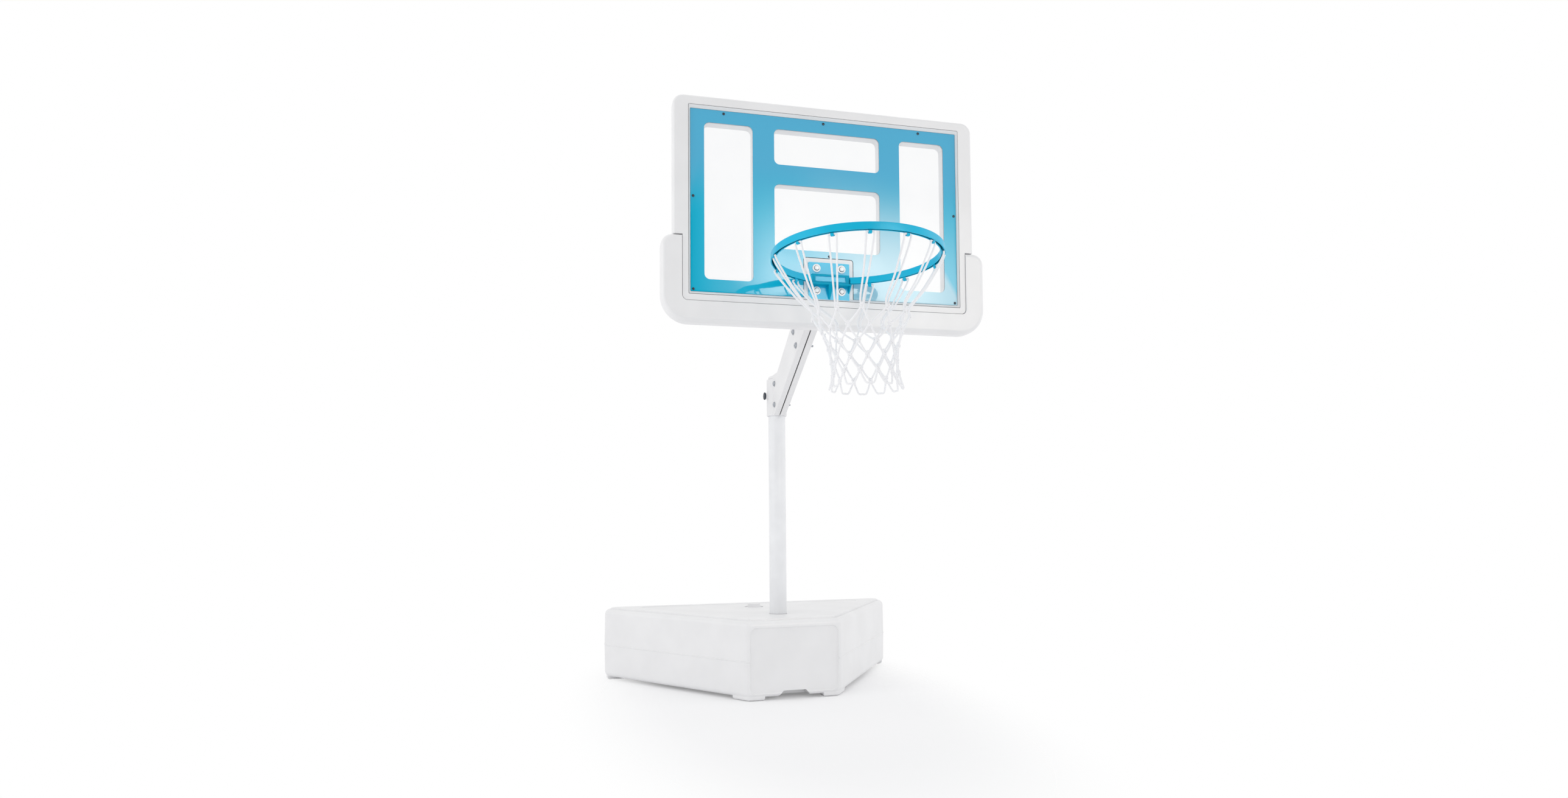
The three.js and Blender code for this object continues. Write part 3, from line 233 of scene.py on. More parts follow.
def to_the_front(x, y, z, way=1):
    """Lays down what was turned about the vertical, so that its foot faces the front, or the back if way is -1."""
    return Matrix.Translation((x, y, z)) @ Matrix.Rotation(-way * math.pi / 2, 4, "X")


def round_rod(start, axis, length, radius, steps):
    """A cylinder used as a cutter."""
    along, side = {"y": ((0, 1, 0), (0, 0, 1)), "z": ((0, 0, 1), (1, 0, 0))}[axis]
    along, side, start = Vector(along), Vector(side), Vector(start)
    other = along.cross(side)
    ring = [side * radius * math.cos(a) + other * radius * math.sin(a) for a in full_turn(steps)]
    return lofted("cutter", [[start + p for p in ring], [start + along * length + p for p in ring]])


def bores(kind, count, front, length, radius=2.3 * MM, steps=16):
    """Cutters for the holes of a number of screws or bolts of one kind."""
    places = [middle_of(f"{kind}_{i + 1}") for i in range(count)]
    return [round_rod((p.x, front, p.z), "y", length, radius, steps) for p in places]


def shaped(piece, operation, tool):
    """A piece after a boolean with a tool, which is used up."""
    modifier = piece.modifiers.new(operation, "BOOLEAN")
    modifier.operation = operation
    modifier.solver = "EXACT"
    modifier.object = tool
    graph = bpy.context.evaluated_depsgraph_get()
    mesh = bpy.data.meshes.new_from_object(piece.evaluated_get(graph))
    piece.modifiers.clear()
    piece.data = mesh
    bpy.data.objects.remove(tool)
    return piece


def cut(piece, *cutters):
    for cutter in cutters:
        shaped(piece, "DIFFERENCE", cutter)


def joined(piece, *others):
    for other in others:
        shaped(piece, "UNION", other)


def smooth(piece, angle=35):
    piece.data.shade_smooth()
    piece.data.set_sharp_from_angle(angle=math.radians(angle))


def softened(piece, width, angle):
    """Rounds the sharp edges a little and shades the rest smooth."""
    bevel = piece.modifiers.new("edge", "BEVEL")
    bevel.width = width
    bevel.segments = 2
    bevel.limit_method = "ANGLE"
    bevel.angle_limit = math.radians(angle)
    smooth(piece, angle)
    weight = piece.modifiers.new("shade", "WEIGHTED_NORMAL")
    weight.keep_sharp = True
    weight.weight = 80


def tube(form, points, radius, sides):
    """A closed tube along some points, with its length and its way round kept as UVs."""
    frames = []
    tangent = (points[1] - points[0]).normalized()
    side = tangent.orthogonal().normalized()
    for i, p in enumerate(points):
        ahead = points[min(i + 1, len(points) - 1)] - points[max(i - 1, 0)]
        ahead = ahead.normalized() if ahead.length > 1e-9 else tangent
        side = tangent.rotation_difference(ahead) @ side
        side = (side - ahead * side.dot(ahead)).normalized()
        tangent = ahead
        frames.append((p, side, ahead.cross(side)))
    rows = [[form.verts.new(p + radius * (s * math.cos(a) + o * math.sin(a))) for a in full_turn(sides)]
            for p, s, o in frames]
    lengths = [0.0]
    for a, b in zip(points, points[1:]):
        lengths.append(lengths[-1] + (b - a).length)
    around = form.loops.layers.uv.verify()
    for near, far, low, high in zip(lengths, lengths[1:], rows, rows[1:]):
        for i in range(sides):
            j = (i + 1) % sides
            face = form.faces.new((low[i], low[j], high[j], high[i]))
            face.smooth = True
            for loop, (u, v) in zip(face.loops, ((near, i), (near, i + 1), (far, i + 1), (far, i))):
                loop[around].uv = (u, v / sides)
    form.faces.new(reversed(rows[0]))
    form.faces.new(rows[-1])


def meeting(p, q, start, end, t):
    """The place at t on the line that is at p at its start and at q at its end."""
    return (p * (end - t) + q * (t - start)) / (end - start)


def spline(points, steps):
    """A smooth line through some points, with a number of steps in each span."""
    ends = [2 * points[0] - points[1]] + points + [2 * points[-1] - points[-2]]
    line = []
    for a, b, c, d in zip(ends, ends[1:], ends[2:], ends[3:]):
        knots = [0.0]
        for p, q in ((a, b), (b, c), (c, d)):
            knots.append(knots[-1] + max((q - p).length, 1e-6) ** 0.5)
        t0, t1, t2, t3 = knots
        for k in range(steps):
            t = t1 + (t2 - t1) * k / steps
            ab, bc, cd = meeting(a, b, t0, t1, t), meeting(b, c, t1, t2, t), meeting(c, d, t2, t3, t)
            line.append(meeting(meeting(ab, bc, t0, t2, t), meeting(bc, cd, t1, t3, t), t1, t2, t))
    return line + [points[-1]]


# Finishes


class Value:
    """A node's output that can be used in sums."""

    def __init__(self, finish, socket):
        self.finish = finish
        self.socket = socket

    def math(self, operation, *others):
        inputs = dict(enumerate((self, *others)))
        return self.finish.node("ShaderNodeMath", {"operation": operation}, inputs)

    def __add__(self, other):
        return self.math("ADD", other)

    __radd__ = __add__

    def __sub__(self, other):
        return self.math("SUBTRACT", other)

    def __rsub__(self, other):
        return self.finish.node("ShaderNodeMath", {"operation": "SUBTRACT"}, {0: other, 1: self})

    def __mul__(self, other):
        return self.math("MULTIPLY", other)

    __rmul__ = __mul__

    def limited(self):
        return self.finish.node("ShaderNodeClamp", {}, {"Value": self})

    def between(self, low, high):
        """0 at low and 1 at high, with a soft start and end."""
        settings = {"interpolation_type": "SMOOTHSTEP"}
        return self.finish.node("ShaderNodeMapRange", settings, {"Value": self, "From Min": low, "From Max": high})


class Finish:
    """A material made of nodes."""

    def __init__(self, name, tree=None):
        if tree is None:
            self.material = bpy.data.materials.new(name)
            self.material.use_nodes = True
            tree = self.material.node_tree
        tree.nodes.clear()
        self.tree = tree

    def node(self, kind, settings=None, inputs=None, output=0):
        made = self.tree.nodes.new(kind)
        for key, value in (settings or {}).items():
            setattr(made, key, value)
        for key, value in (inputs or {}).items():
            if isinstance(value, Value):
                self.tree.links.new(value.socket, made.inputs[key])
            else:
                made.inputs[key].default_value = value
        return Value(self, made.outputs[output] if len(made.outputs) else None)

    def place(self, part="Object"):
        """The surface's own coordinates."""
        return self.node("ShaderNodeTexCoord", output=part)

    def axis(self, vector, letter):
        return self.node("ShaderNodeSeparateXYZ", {}, {0: vector}, output=letter)

    def noise(self, vector, scale, detail=2.0, roughness=0.5):
        inputs = {"Vector": vector, "Scale": scale, "Detail": detail, "Roughness": roughness}
        return self.node("ShaderNodeTexNoise", {}, inputs)

    def stretched(self, vector, factors):
        return self.node("ShaderNodeVectorMath", {"operation": "MULTIPLY"}, {0: vector, 1: factors})

    def mix(self, factor, first, second):
        """From the first colour to the second as the factor goes from 0 to 1."""
        first, second = (c if isinstance(c, Value) else (*c, 1) for c in (first, second))
        return self.node("ShaderNodeMix", {"data_type": "RGBA"}, {0: factor, 6: first, 7: second}, output=2)

    def bump(self, height, strength, distance, under=None):
        inputs = {"Height": height, "Strength": strength, "Distance": distance}
        if under is not None:
            inputs["Normal"] = under
        return self.node("ShaderNodeBump", {}, inputs)

    def clear(self):
        return self.node("ShaderNodeBsdfTransparent", {}, {"Color": (1, 1, 1, 1)})

    def glow(self, shade, strength):
        return self.node("ShaderNodeEmission", {}, {"Color": (*shade, 1), "Strength": strength})

    def blend(self, factor, first, second):
        """From the first shader to the second as the factor goes from 0 to 1."""
        return self.node("ShaderNodeMixShader", {}, {0: factor, 1: first, 2: second})

    def end(self, shader, kind="Material"):
        self.node(f"ShaderNodeOutput{kind}", {}, {"Surface": shader})

    def surface(self, **inputs):
        """The principled shader with its sockets' names written with low dashes."""
        named = {key.replace("_", " "): value for key, value in inputs.items()}
        self.end(self.node("ShaderNodeBsdfPrincipled", {}, named))
        return self.material


def tinted(shade, factor):
    return tuple(min(1.0, c * factor) for c in shade)


def moulded_plastic(name, shade, rough, grain):
    """Moulded plastic: faint clouding, a slightly wavy wall and fine orange peel."""
    f = Finish(name)
    place = f.place()
    cloud = f.noise(place, 7, 3)
    flow = f.noise(f.stretched(place, (3, 3, 11)), 4)
    fine = f.noise(place, 900)
    base = f.mix(cloud.between(0.25, 0.75), tinted(shade, 0.975), tinted(shade, 1.02))
    wavy = f.bump(flow, 0.35, 0.5 * MM)
    skin = f.bump(fine, grain, 0.06 * MM, wavy)
    roughness = rough + 0.12 * (f.noise(place, 26, 3) - 0.5) + 0.08 * (fine - 0.5)
    return f.surface(Base_Color=base, Roughness=roughness, Normal=skin)


def orange_peel(f, place):
    """The peel of baked paint, as a height and as a bump."""
    peel = f.noise(place, 420, 2, 0.45)
    return peel, f.bump(peel, 0.22, 0.08 * MM)


def powder_coat(name, shade, rough, coat, shine):
    """Baked paint on steel: orange peel under a clear gloss."""
    f = Finish(name)
    place = f.place()
    peel, skin = orange_peel(f, place)
    cloud = f.noise(place, 9)
    base = f.mix(cloud.between(0.3, 0.7), tinted(shade, 0.96), tinted(shade, 1.03))
    return f.surface(Base_Color=base, Roughness=rough + 0.10 * (peel - 0.5), Normal=skin,
                     Specular_IOR_Level=shine, Coat_Weight=coat, Coat_Roughness=0.12)


def bracket_paint(name, shade):
    """Powder coat, glossy on the plate and in the block's recess, duller on what stands proud, where its colour is
    darkened as painted shade.
    """
    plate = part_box("rim_bracket")[1].y - 4 * MM
    recess_half_width, recess_half_height, below_rim_top = 48.5 * MM, 8 * MM, 7.25 * MM
    fade = 0.5 * MM
    f = Finish(name)
    place = f.place()
    out = f.axis(place, "Y")
    across = (f.axis(place, "X") - POLE_X).math("ABSOLUTE")
    up = (f.axis(place, "Z") - (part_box("rim_ring")[1].z - below_rim_top)).math("ABSOLUTE")
    recess = (across.between(recess_half_width + fade, recess_half_width - fade)
              * up.between(recess_half_height + fade, recess_half_height - fade))
    gloss = (out.between(plate - 2 * MM, plate - 1 * MM) + recess).limited()
    peel, skin = orange_peel(f, place)
    # Painted shade: the proud parts' colour is darkened to 0.8 of the rim's blue
    base = f.mix(gloss, tinted(shade, 0.8), tinted(shade, 1.03))
    return f.surface(Base_Color=base, Roughness=0.4 + 0.10 * (peel - 0.5), Normal=skin,
                     Specular_IOR_Level=0.05, Coat_Weight=0.75 * gloss, Coat_Roughness=0.24)


def plated_steel(name, shade, rough):
    """Zinc plate: a spangled tone and fine turning marks."""
    f = Finish(name)
    place = f.place()
    spangle = f.node("ShaderNodeTexVoronoi", {}, {"Vector": place, "Scale": 420.0}, output="Color")
    tone = f.axis(spangle, "X")
    marks = f.noise(f.stretched(place, (1, 1, 14)), 700)
    base = f.mix(tone, tinted(shade, 0.86), tinted(shade, 1.06))
    skin = f.bump(marks, 0.25, 0.04 * MM)
    return f.surface(Base_Color=base, Metallic=1.0, Roughness=rough + 0.18 * (tone - 0.5), Normal=skin)


def matte_rubber(name, shade):
    """Rubber: a fine grain under a paler bloom."""
    f = Finish(name)
    place = f.place()
    grain = f.noise(place, 1500)
    bloom = f.noise(place, 60, 3)
    base = f.mix(bloom.between(0.45, 0.8), shade, tinted(shade, 1.8))
    return f.surface(Base_Color=base, Roughness=0.78 + 0.1 * (grain - 0.5), Normal=f.bump(grain, 0.3, 0.05 * MM))


def board_print(name, upper, lower, pale):
    """Gloss print: blue above, cyan at the lower left, with a painted reflection that fades it to pale blue
    towards the lower right.

    The fades are placed in metres, across from the pole's axis and up from the ground.
    """
    f = Finish(name)
    place = f.place()
    across, up = f.axis(place, "X") - POLE_X, f.axis(place, "Z")
    wave = 0.05 * (f.noise(place, 3) - 0.5)
    cyan = up.between(1.76, 1.56)
    glare_down = (up + 0.22 * across + wave).between(1.80, 1.48)
    glare_edge = (up + 1.67 * across).between(2.06, 2.10)
    glare_across = across.between(-0.14, 0.14) * (1 - 0.88 * across.between(0.24, 0.38) * glare_edge)
    ink = f.noise(place, 1600, 1)
    base = f.mix(cyan, upper, lower)
    # Painted reflection: the fade to pale blue stands for glare of bright light on the gloss; the soft card's real
    # reflection adds the rest
    base = f.mix((0.6 * glare_down * glare_across + 0.012 * (ink - 0.5)).limited(), base, pale)
    skin = f.bump(f.noise(place, 18), 0.05, 0.2 * MM)
    return f.surface(Base_Color=base, Roughness=0.22 + 0.05 * (ink - 0.5), Normal=skin, Specular_IOR_Level=0.15,
                     Coat_Weight=1.0, Coat_Roughness=0.02, Coat_IOR=1.5)


def clear_plate(name, tint):
    """Clear sheet: hardly tinted, with a gloss and faint rubbing marks."""
    f = Finish(name)
    place = f.place()
    rub = f.noise(f.stretched(place, (1, 1, 3)), 90, 4, 0.6)
    haze = f.noise(place, 5).between(0.3, 0.8)
    return f.surface(Base_Color=f.mix(haze, tint, tinted(tint, 0.98)), Roughness=0.04 + 0.04 * rub,
                     Alpha=0.10 + 0.05 * haze, Specular_IOR_Level=0.5)


def braided_cord(name, shade):
    """White braid: two sets of strands that cross round the cord."""
    f = Finish(name)
    uv = f.place("UV")
    pitch = 7 * MM
    along, around = f.axis(uv, "X") * (3 / pitch), f.axis(uv, "Y") * 4

    def strand(turns):
        return (2 * math.pi * turns).math("SINE")

    crossing = strand(along + around).math("MAXIMUM", strand(along - around))
    weave = crossing * 0.8 + 0.2 * strand(along)
    fibre = f.noise(f.place(), 2600)
    # Painted shade: the colour is a little darker in the dips between strands
    base = f.mix((0.5 + 0.5 * weave).limited(), tinted(shade, 0.93), tinted(shade, 1.03))
    skin = f.bump(fibre, 0.2, 0.1 * MM, f.bump(weave, 0.45, 0.3 * MM))
    return f.surface(Base_Color=base, Roughness=0.82 + 0.1 * (fibre - 0.5), Normal=skin, Sheen_Weight=0.25)


FINISHES = {}


def finish_of(key):
    """Each finish is made once, from the colours in the panel."""
    c = bpy.context.scene.hoop_colours
    makers = {
        "white_moulding": lambda: moulded_plastic("White moulding", c.moulding, 0.40, 0.35),
        "arm_moulding": lambda: moulded_plastic("White arm moulding", c.moulding, 0.46, 0.45),
        "white_cap": lambda: moulded_plastic("White bolt cap", c.cap, 0.22, 0.1),
        "white_paint": lambda: powder_coat("White powder coat", c.pole, 0.45, 0.05, 0.3),
        "blue_paint": lambda: powder_coat("Cyan blue powder coat", c.rim, 0.34, 0.03, 0.18),
        # Painted shade: the rim's blue darkened, for the film in the rim's channel
        "painted_shade_blue": lambda: powder_coat("Painted shade, dark blue", tinted(c.rim, 0.45), 0.5, 0.0, 0.15),
        "bracket_paint": lambda: bracket_paint("Cyan blue bracket paint", c.rim),
        "dark_steel": lambda: plated_steel("Dark zinc", c.dark_steel, 0.42),
        "bright_steel": lambda: plated_steel("Bright zinc", c.steel, 0.30),
        "black_rubber": lambda: matte_rubber("Black rubber", c.rubber),
        "blue_print": lambda: board_print("Blue board print", c.print_upper, c.print_lower, c.print_pale),
        "clear_sheet": lambda: clear_plate("Clear sheet", c.sheet),
        "white_cord": lambda: braided_cord("White braided cord", c.cord),
    }
    if key not in FINISHES:
        FINISHES[key] = makers[key]()
    return FINISHES[key]


def painted(piece, finish):
    piece.data.materials.clear()
    piece.data.materials.append(finish_of(finish))


def dressed(piece, finish, body="carriage", node=None):
    """Gives a piece its finish and its body, and hides the CAD node that it stands for."""
    painted(piece, finish)
    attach(piece, body)
    if node:
        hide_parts(node)


def turned(name, profile, steps, place, angle, finish, body="carriage", node=None):
    """A piece that is round about an axis, smoothed and dressed."""
    piece = revolved(name, profile, steps, place)
    smooth(piece, angle)
    dressed(piece, finish, body, node)


def dressed_node(name, finish, edge, angle=35):
    """A CAD node whose shape is kept gets its finish and softer edges."""
    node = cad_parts[name]
    normals = node.data.attributes.get("custom_normal")
    if normals:
        node.data.attributes.remove(normals)
    softened(node, edge, angle)
    painted(node, finish)


# Sizes and colours


class HoopTankSizes(bpy.types.PropertyGroup):
    turn: FloatProperty(name="Turn", description="How far the tank stands turned under the pole",
                        default=math.radians(3.5), subtype="ANGLE")
    front_width: size("Front width", "Width of the front face at its corners", 355)
    back_width: size("Back width", "Width of the back face at its corners", 1345)
    height: size("Height", "Height of the deck", 288)
    front_reach: size("Front reach", "From the pole's axis to the front face", 195)
    back_reach: size("Back reach", "From the pole's axis to the back face", 437)
    front_corner: size("Front corners", "Radius of the front corners", 34)
    back_corner: size("Back corners", "Radius of the back corners", 50)
    edge_round: size("Shoulder", "Radius of the upper and lower edges", 20)
    clearance: size("Clearance", "Height of the underside above the ground", 12)


class HoopBoardSizes(bpy.types.PropertyGroup):
    corner: size("Frame corners", "Radius of the frame's upper corners", 34)
    low_corner: size("Lower corners", "Radius of the frame's lower corners", 14)
    edge: size("Frame edge", "Round of the frame's outer edges", 9)
    band: size("Frame band", "Width of the frame beside the sheet, between the bumper's arms", 18.5)
    bumper_edge: size("Bumper edge", "Round of the bumper's outer edges", 14)
    bumper_corner: size("Bumper corners", "Radius of the bumper's lower corners", 84)
    bumper_arm: size("Bumper arms", "Radius at the top of the bumper's arms", 36)
    seam: size("Seam", "Gap between the frame and the bumper", 1.5)


class HoopRimSizes(bpy.types.PropertyGroup):
    inner_radius: size("Inner radius", "Half the clear width of the rim", 228.6)
    wall: size("Band width", "Width of the band seen from above", 12)
    band: size("Band height", "Height of the band", 20)


class HoopNetSizes(bpy.types.PropertyGroup):
    cord: size("Cord", "Diameter of the net's cord", 5.5)
    loop_half: size("Loop", "Half the width of a bottom loop's foot", 11)
    sway: size("Sway", "How far the net's bottom hangs to the right", 24)


class HoopColours(bpy.types.PropertyGroup):
    moulding: colour("Moulding", "White of the tank, the frame and the bumper", (236, 236, 237))
    pole: colour("Pole", "White of the pole", (240, 241, 243))
    rim: colour("Rim", "Blue of the rim and its bracket", (6, 185, 223))
    print_upper: colour("Print, upper", "Blue at the top of the board", (62, 175, 215))
    print_lower: colour("Print, lower", "Cyan at the board's lower left", (8, 184, 218))
    # Painted reflection: the pale blue of glare that the print fades to
    print_pale: colour("Print, pale", "Blue towards the lower right of the board", (196, 220, 230))
    sheet: colour("Sheet", "Tint of the clear sheet", (244, 247, 250))
    cord: colour("Cord", "White of the net", (249, 249, 251))
    cap: colour("Caps", "White of the rim bolts' caps", (253, 253, 253))
    steel: colour("Bright steel", "Zinc of the arm's bolts", (176, 180, 186))
    dark_steel: colour("Dark steel", "Zinc of the board's screws and the lock bolt", (66, 72, 80))
    rubber: colour("Rubber", "Seal and foot plug", (30, 31, 33))


# Pieces


class HOOP_OT_tank(bpy.types.Operator):
    """Makes the water tank with its feet, notch, face panel and deck"""

    bl_idname = "hoop.tank"
    bl_label = "Tank"

    def execute(self, context):
        s = context.scene.hoop_tank
        front, back = s.front_width / 2, s.back_width / 2
        corners = [(-front, -s.front_reach), (front, -s.front_reach), (back, s.back_reach), (-back, s.back_reach)]
        radii = [s.front_corner, s.front_corner, s.back_corner, s.back_corner]
        rise = 6 * MM
        shoulder = s.height - rise
        tank = stacked("tank_shell", standing, corners, radii, self.levels(s, shoulder, rise), 12)
        joined(tank, *self.feet(corners, radii))
        cut(tank, *self.front_cutters(s, front, shoulder), *self.deck_cutters(s, front, back))
        tank.data.transform(Matrix.Translation((POLE_X, POLE_Y, 0)) @ Matrix.Rotation(s.turn, 4, "Z"))
        softened(tank, 1.1 * MM, 32)
        dressed(tank, "white_moulding", "tank", "base_tank")
        return {"FINISHED"}

    def levels(self, s, shoulder, rise):
        """The wall's insets and heights: round below, a parting seam, round above, a groove, the raised deck."""
        draft, ledge, parting, rib = 4 * MM, 9 * MM, 140 * MM, 1.2 * MM
        curve = rounding(s.edge_round, 8)
        seam = ((2, -2.2), (1, -1.6), (0.4, -0.8), (0.4, 0.8), (1, 1.6), (2, 2.2))
        groove = mm((-8.6, 0), (-7.8, -0.5), (-7.2, -2.2), (-5.2, -2.2),
                    (-4.4, 0), (-4, 1.6), (-3.4, 4.2), (-2.2, 5.6))
        step = draft + s.edge_round + ledge
        return [*((draft + inset, s.clearance + depth) for inset, depth in curve),
                *((rib * inset, parting + rib * height) for inset, height in seam),
                *((draft + inset, shoulder - depth) for depth, inset in curve),
                *((step + inset, shoulder + height) for inset, height in groove), (step, shoulder + rise)]

    def feet(self, corners, radii):
        """A slab under the tank, kept in a block at each corner."""
        depth, taper = 66 * MM, 0.93
        feet = []
        for corner, reach in zip(corners, (66 * MM, 66 * MM, 198 * MM, 198 * MM)):
            x, y = corner
            slab = stacked("foot", standing, corners, radii, mm((19, 0), (12.5, 4), (10, 9), (10, 30)), 12)
            zone = filleted(box_corners(x - reach, x + reach, y - depth, y + depth), 10 * MM, 0, 5)
            low = [Vector(corner).lerp(p, taper) for p in zone]
            levels = ((low, -3 * MM), (low, 0), (zone, 9 * MM), (zone, 60 * MM))
            block = lofted("zone", [standing(outline, height) for outline, height in levels])
            feet.append(shaped(slab, "INTERSECT", block))
        return feet

    def front_cutters(self, s, front, shoulder):
        """The hand notch below and the sunk panel in the front face."""
        face = -s.front_reach
        notch = [(x, s.clearance + z) for x, z in mm((-62, -3), (62, -3), (62, 0), (42, 21), (-42, 21), (-62, 0))]
        radii = [radius * MM for radius in (0.3, 0.3, 6, 5, 5, 6)]
        side = front - s.front_corner / 4
        panel = box_corners(-side, side, 24 * MM, shoulder - 23 * MM)
        levels = [(inset, face + depth) for inset, depth in mm((-3, -9), (-1, 2), (0, 4), (0.6, 6), (2.4, 7.4))]
        return [opening(notch, radii, face - OVERRUN, face + 56 * MM, 4),
                stacked("cutter", facing, panel, 26 * MM, levels)]

    def deck_cutters(self, s, front, back):
        """The sunk field of the deck, the pole's socket and the filler's recess and neck."""
        slope = (back - front) / (s.front_reach + s.back_reach)
        margin = 96 * MM * math.hypot(1, slope)
        near, far = -s.front_reach + 116 * MM, s.back_reach - 56 * MM
        near_half, far_half = (front + slope * (y + s.front_reach) - margin for y in (near, far))
        field = [(-near_half, near), (near_half, near), (far_half, far), (-far_half, far)]
        levels = [(inset, s.height + height) for inset, height in mm((3, -2.5), (1.2, -1.9), (0, 0), (-1, 3))]
        filler = -20 * MM, 258 * MM
        return [stacked("cutter", standing, field, 30 * MM, levels),
                round_rod((0, 0, 40 * MM), "z", 300 * MM, 34.1 * MM, 64),
                round_rod((*filler, s.height - 11.5 * MM), "z", 30 * MM, 38 * MM, 64),
                round_rod((*filler, s.height - 62.5 * MM), "z", 90 * MM, 24.8 * MM, 64)]


class HOOP_OT_cap(bpy.types.Operator):
    """Dresses the filler cap and its seal"""

    bl_idname = "hoop.cap"
    bl_label = "Filler cap"

    def execute(self, context):
        dressed_node("filler_cap", "white_moulding", 0.8 * MM)
        dressed_node("cap_seal", "black_rubber", 0.3 * MM)
        return {"FINISHED"}


class HOOP_OT_pole(bpy.types.Operator):
    """Makes the pole and its top plug"""

    bl_idname = "hoop.pole"
    bl_label = "Pole"

    def execute(self, context):
        upright = Matrix.Translation((POLE_X, POLE_Y, 0))
        foot, top = pole_low.z, pole_high.z
        radius = (pole_high.x - pole_low.x) / 2
        bore, lip = radius - 2.5 * MM, 0.7 * MM
        profile = [(bore, foot + lip), (bore + lip, foot), (radius - lip, foot), (radius, foot + lip),
                   (radius, top - lip), (radius - lip, top), (bore + lip, top), (bore, top - lip)]
        turned("pole_tube", profile, 96, upright, 50, "white_paint", "pole", "pole")
        plug_low, plug_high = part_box("pole_top_plug")
        seat, end, crown = top + SLACK, plug_low.z, plug_high.z
        outer = bore - SLACK
        inner = outer - 3 * MM
        edge, brow, turn_in = radius - 0.2 * MM, seat + 2.6 * MM, 8 * MM
        dome = [(edge - turn_in * (1 - math.cos(a)), brow + (crown - brow) * math.sin(a)) for a in quarter_turn(8)]
        profile = [(0, seat + 2 * MM), (inner, seat + 2 * MM), (inner, end), (outer - 0.5 * MM, end),
                   (outer, end + 0.5 * MM), (outer, seat), (edge - 0.2 * MM, seat), (edge, seat + 0.4 * MM),
                   *dome, (0, crown)]
        turned("pole_plug", profile, 96, upright, 40, "white_moulding", "pole", "pole_top_plug")
        dressed_node("pole_foot_plug", "black_rubber", 0.4 * MM)
        return {"FINISHED"}


def shank(start, length):
    """The profile of a bolt's shank, from below its head to its tip."""
    radius, chamfer = 4 * MM, 0.8 * MM
    return [(radius, start), (radius, length - chamfer), (radius - chamfer, length), (0, length)]


class HOOP_OT_arm(bpy.types.Operator):
    """Dresses the two arm shells, their bolts and the lock bolt"""

    bl_idname = "hoop.arm"
    bl_label = "Arm"

    def execute(self, context):
        for name in ("arm_left", "arm_right"):
            dressed_node(name, "arm_moulding", 0.9 * MM, 40)
        for i in (1, 2):
            dressed_node(f"arm_sleeve_{i}", "bright_steel", 0.3 * MM)
        head = mm((0, 1.1), (3.2, 1.1), (3.4, 0.2), (5, 0), (7.4, 0.5), (8.5, 1.6), (9, 2.6), (9, 3.9),
                  (10.6, 4), (11, 4.4), (11, 5.4), (10.8, 5.6))
        for i in range(1, 7):
            low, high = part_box(f"arm_bolt_{i}")
            _, y, z = middle_of(f"arm_bolt_{i}")
            place = Matrix.Translation((low.x, y, z)) @ Matrix.Rotation(math.pi / 2, 4, "Y")
            profile = [*head, *shank(5.6 * MM, high.x - low.x)]
            turned(f"arm_screw_{i}", profile, 36, place, 35, "bright_steel", node=f"arm_bolt_{i}")
            dressed_node(f"arm_nut_{i}", "bright_steel", 0.7 * MM)
        dressed_node("lock_bolt", "dark_steel", 0.5 * MM, 28)
        return {"FINISHED"}


def centred(points):
    """Points whose x is drawn from the pole's axis."""
    return [(POLE_X + x, z) for x, z in points]


def face_of(node, gap=0.0):
    """A CAD node seen from the front with a gap round it, as left, right, low and high."""
    low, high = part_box(node)
    return low.x - gap, high.x + gap, low.z - gap, high.z + gap


def window_cutters(front, back):
    return [opening(box_corners(*window), 17 * MM, front, back, 10) for window in windows()]


def windows():
    """The board's windows at the left, the right, the top and the centre, as left, right, low and high."""
    left, right, low, high = face_of("print_film")
    side_margin, end_margin = 42 * MM, 39 * MM
    tall_width, wide_half = 151 * MM, 171.5 * MM
    top_height, bar, centre_height = 111 * MM, 62 * MM, 201 * MM
    outer = (right - left) / 2 - side_margin
    inner = outer - tall_width
    top, bottom = high - end_margin, low + end_margin
    band = top - top_height
    centre = band - bar
    spans = ((-outer, -inner, bottom, top), (inner, outer, bottom, top),
             (-wide_half, wide_half, band, top), (-wide_half, wide_half, centre - centre_height, centre))
    return [(POLE_X + start, POLE_X + end, *heights) for start, end, *heights in spans]


def pad_corners(gap, low):
    """The raised pad behind the bracket with a gap round it, from a height up."""
    half, top = 79.5 * MM + gap, 1452 * MM + gap
    return box_corners(POLE_X - half, POLE_X + half, low, top)


def sheet_recess():
    """The recess in the frame's face that holds the sheet, as left, right, low and high."""
    return face_of("clear_sheet", 1.5 * MM)


def low_half(s):
    """Half the frame's width between the bumper's arms."""
    left, right, _, _ = sheet_recess()
    return (right - left) / 2 + s.band


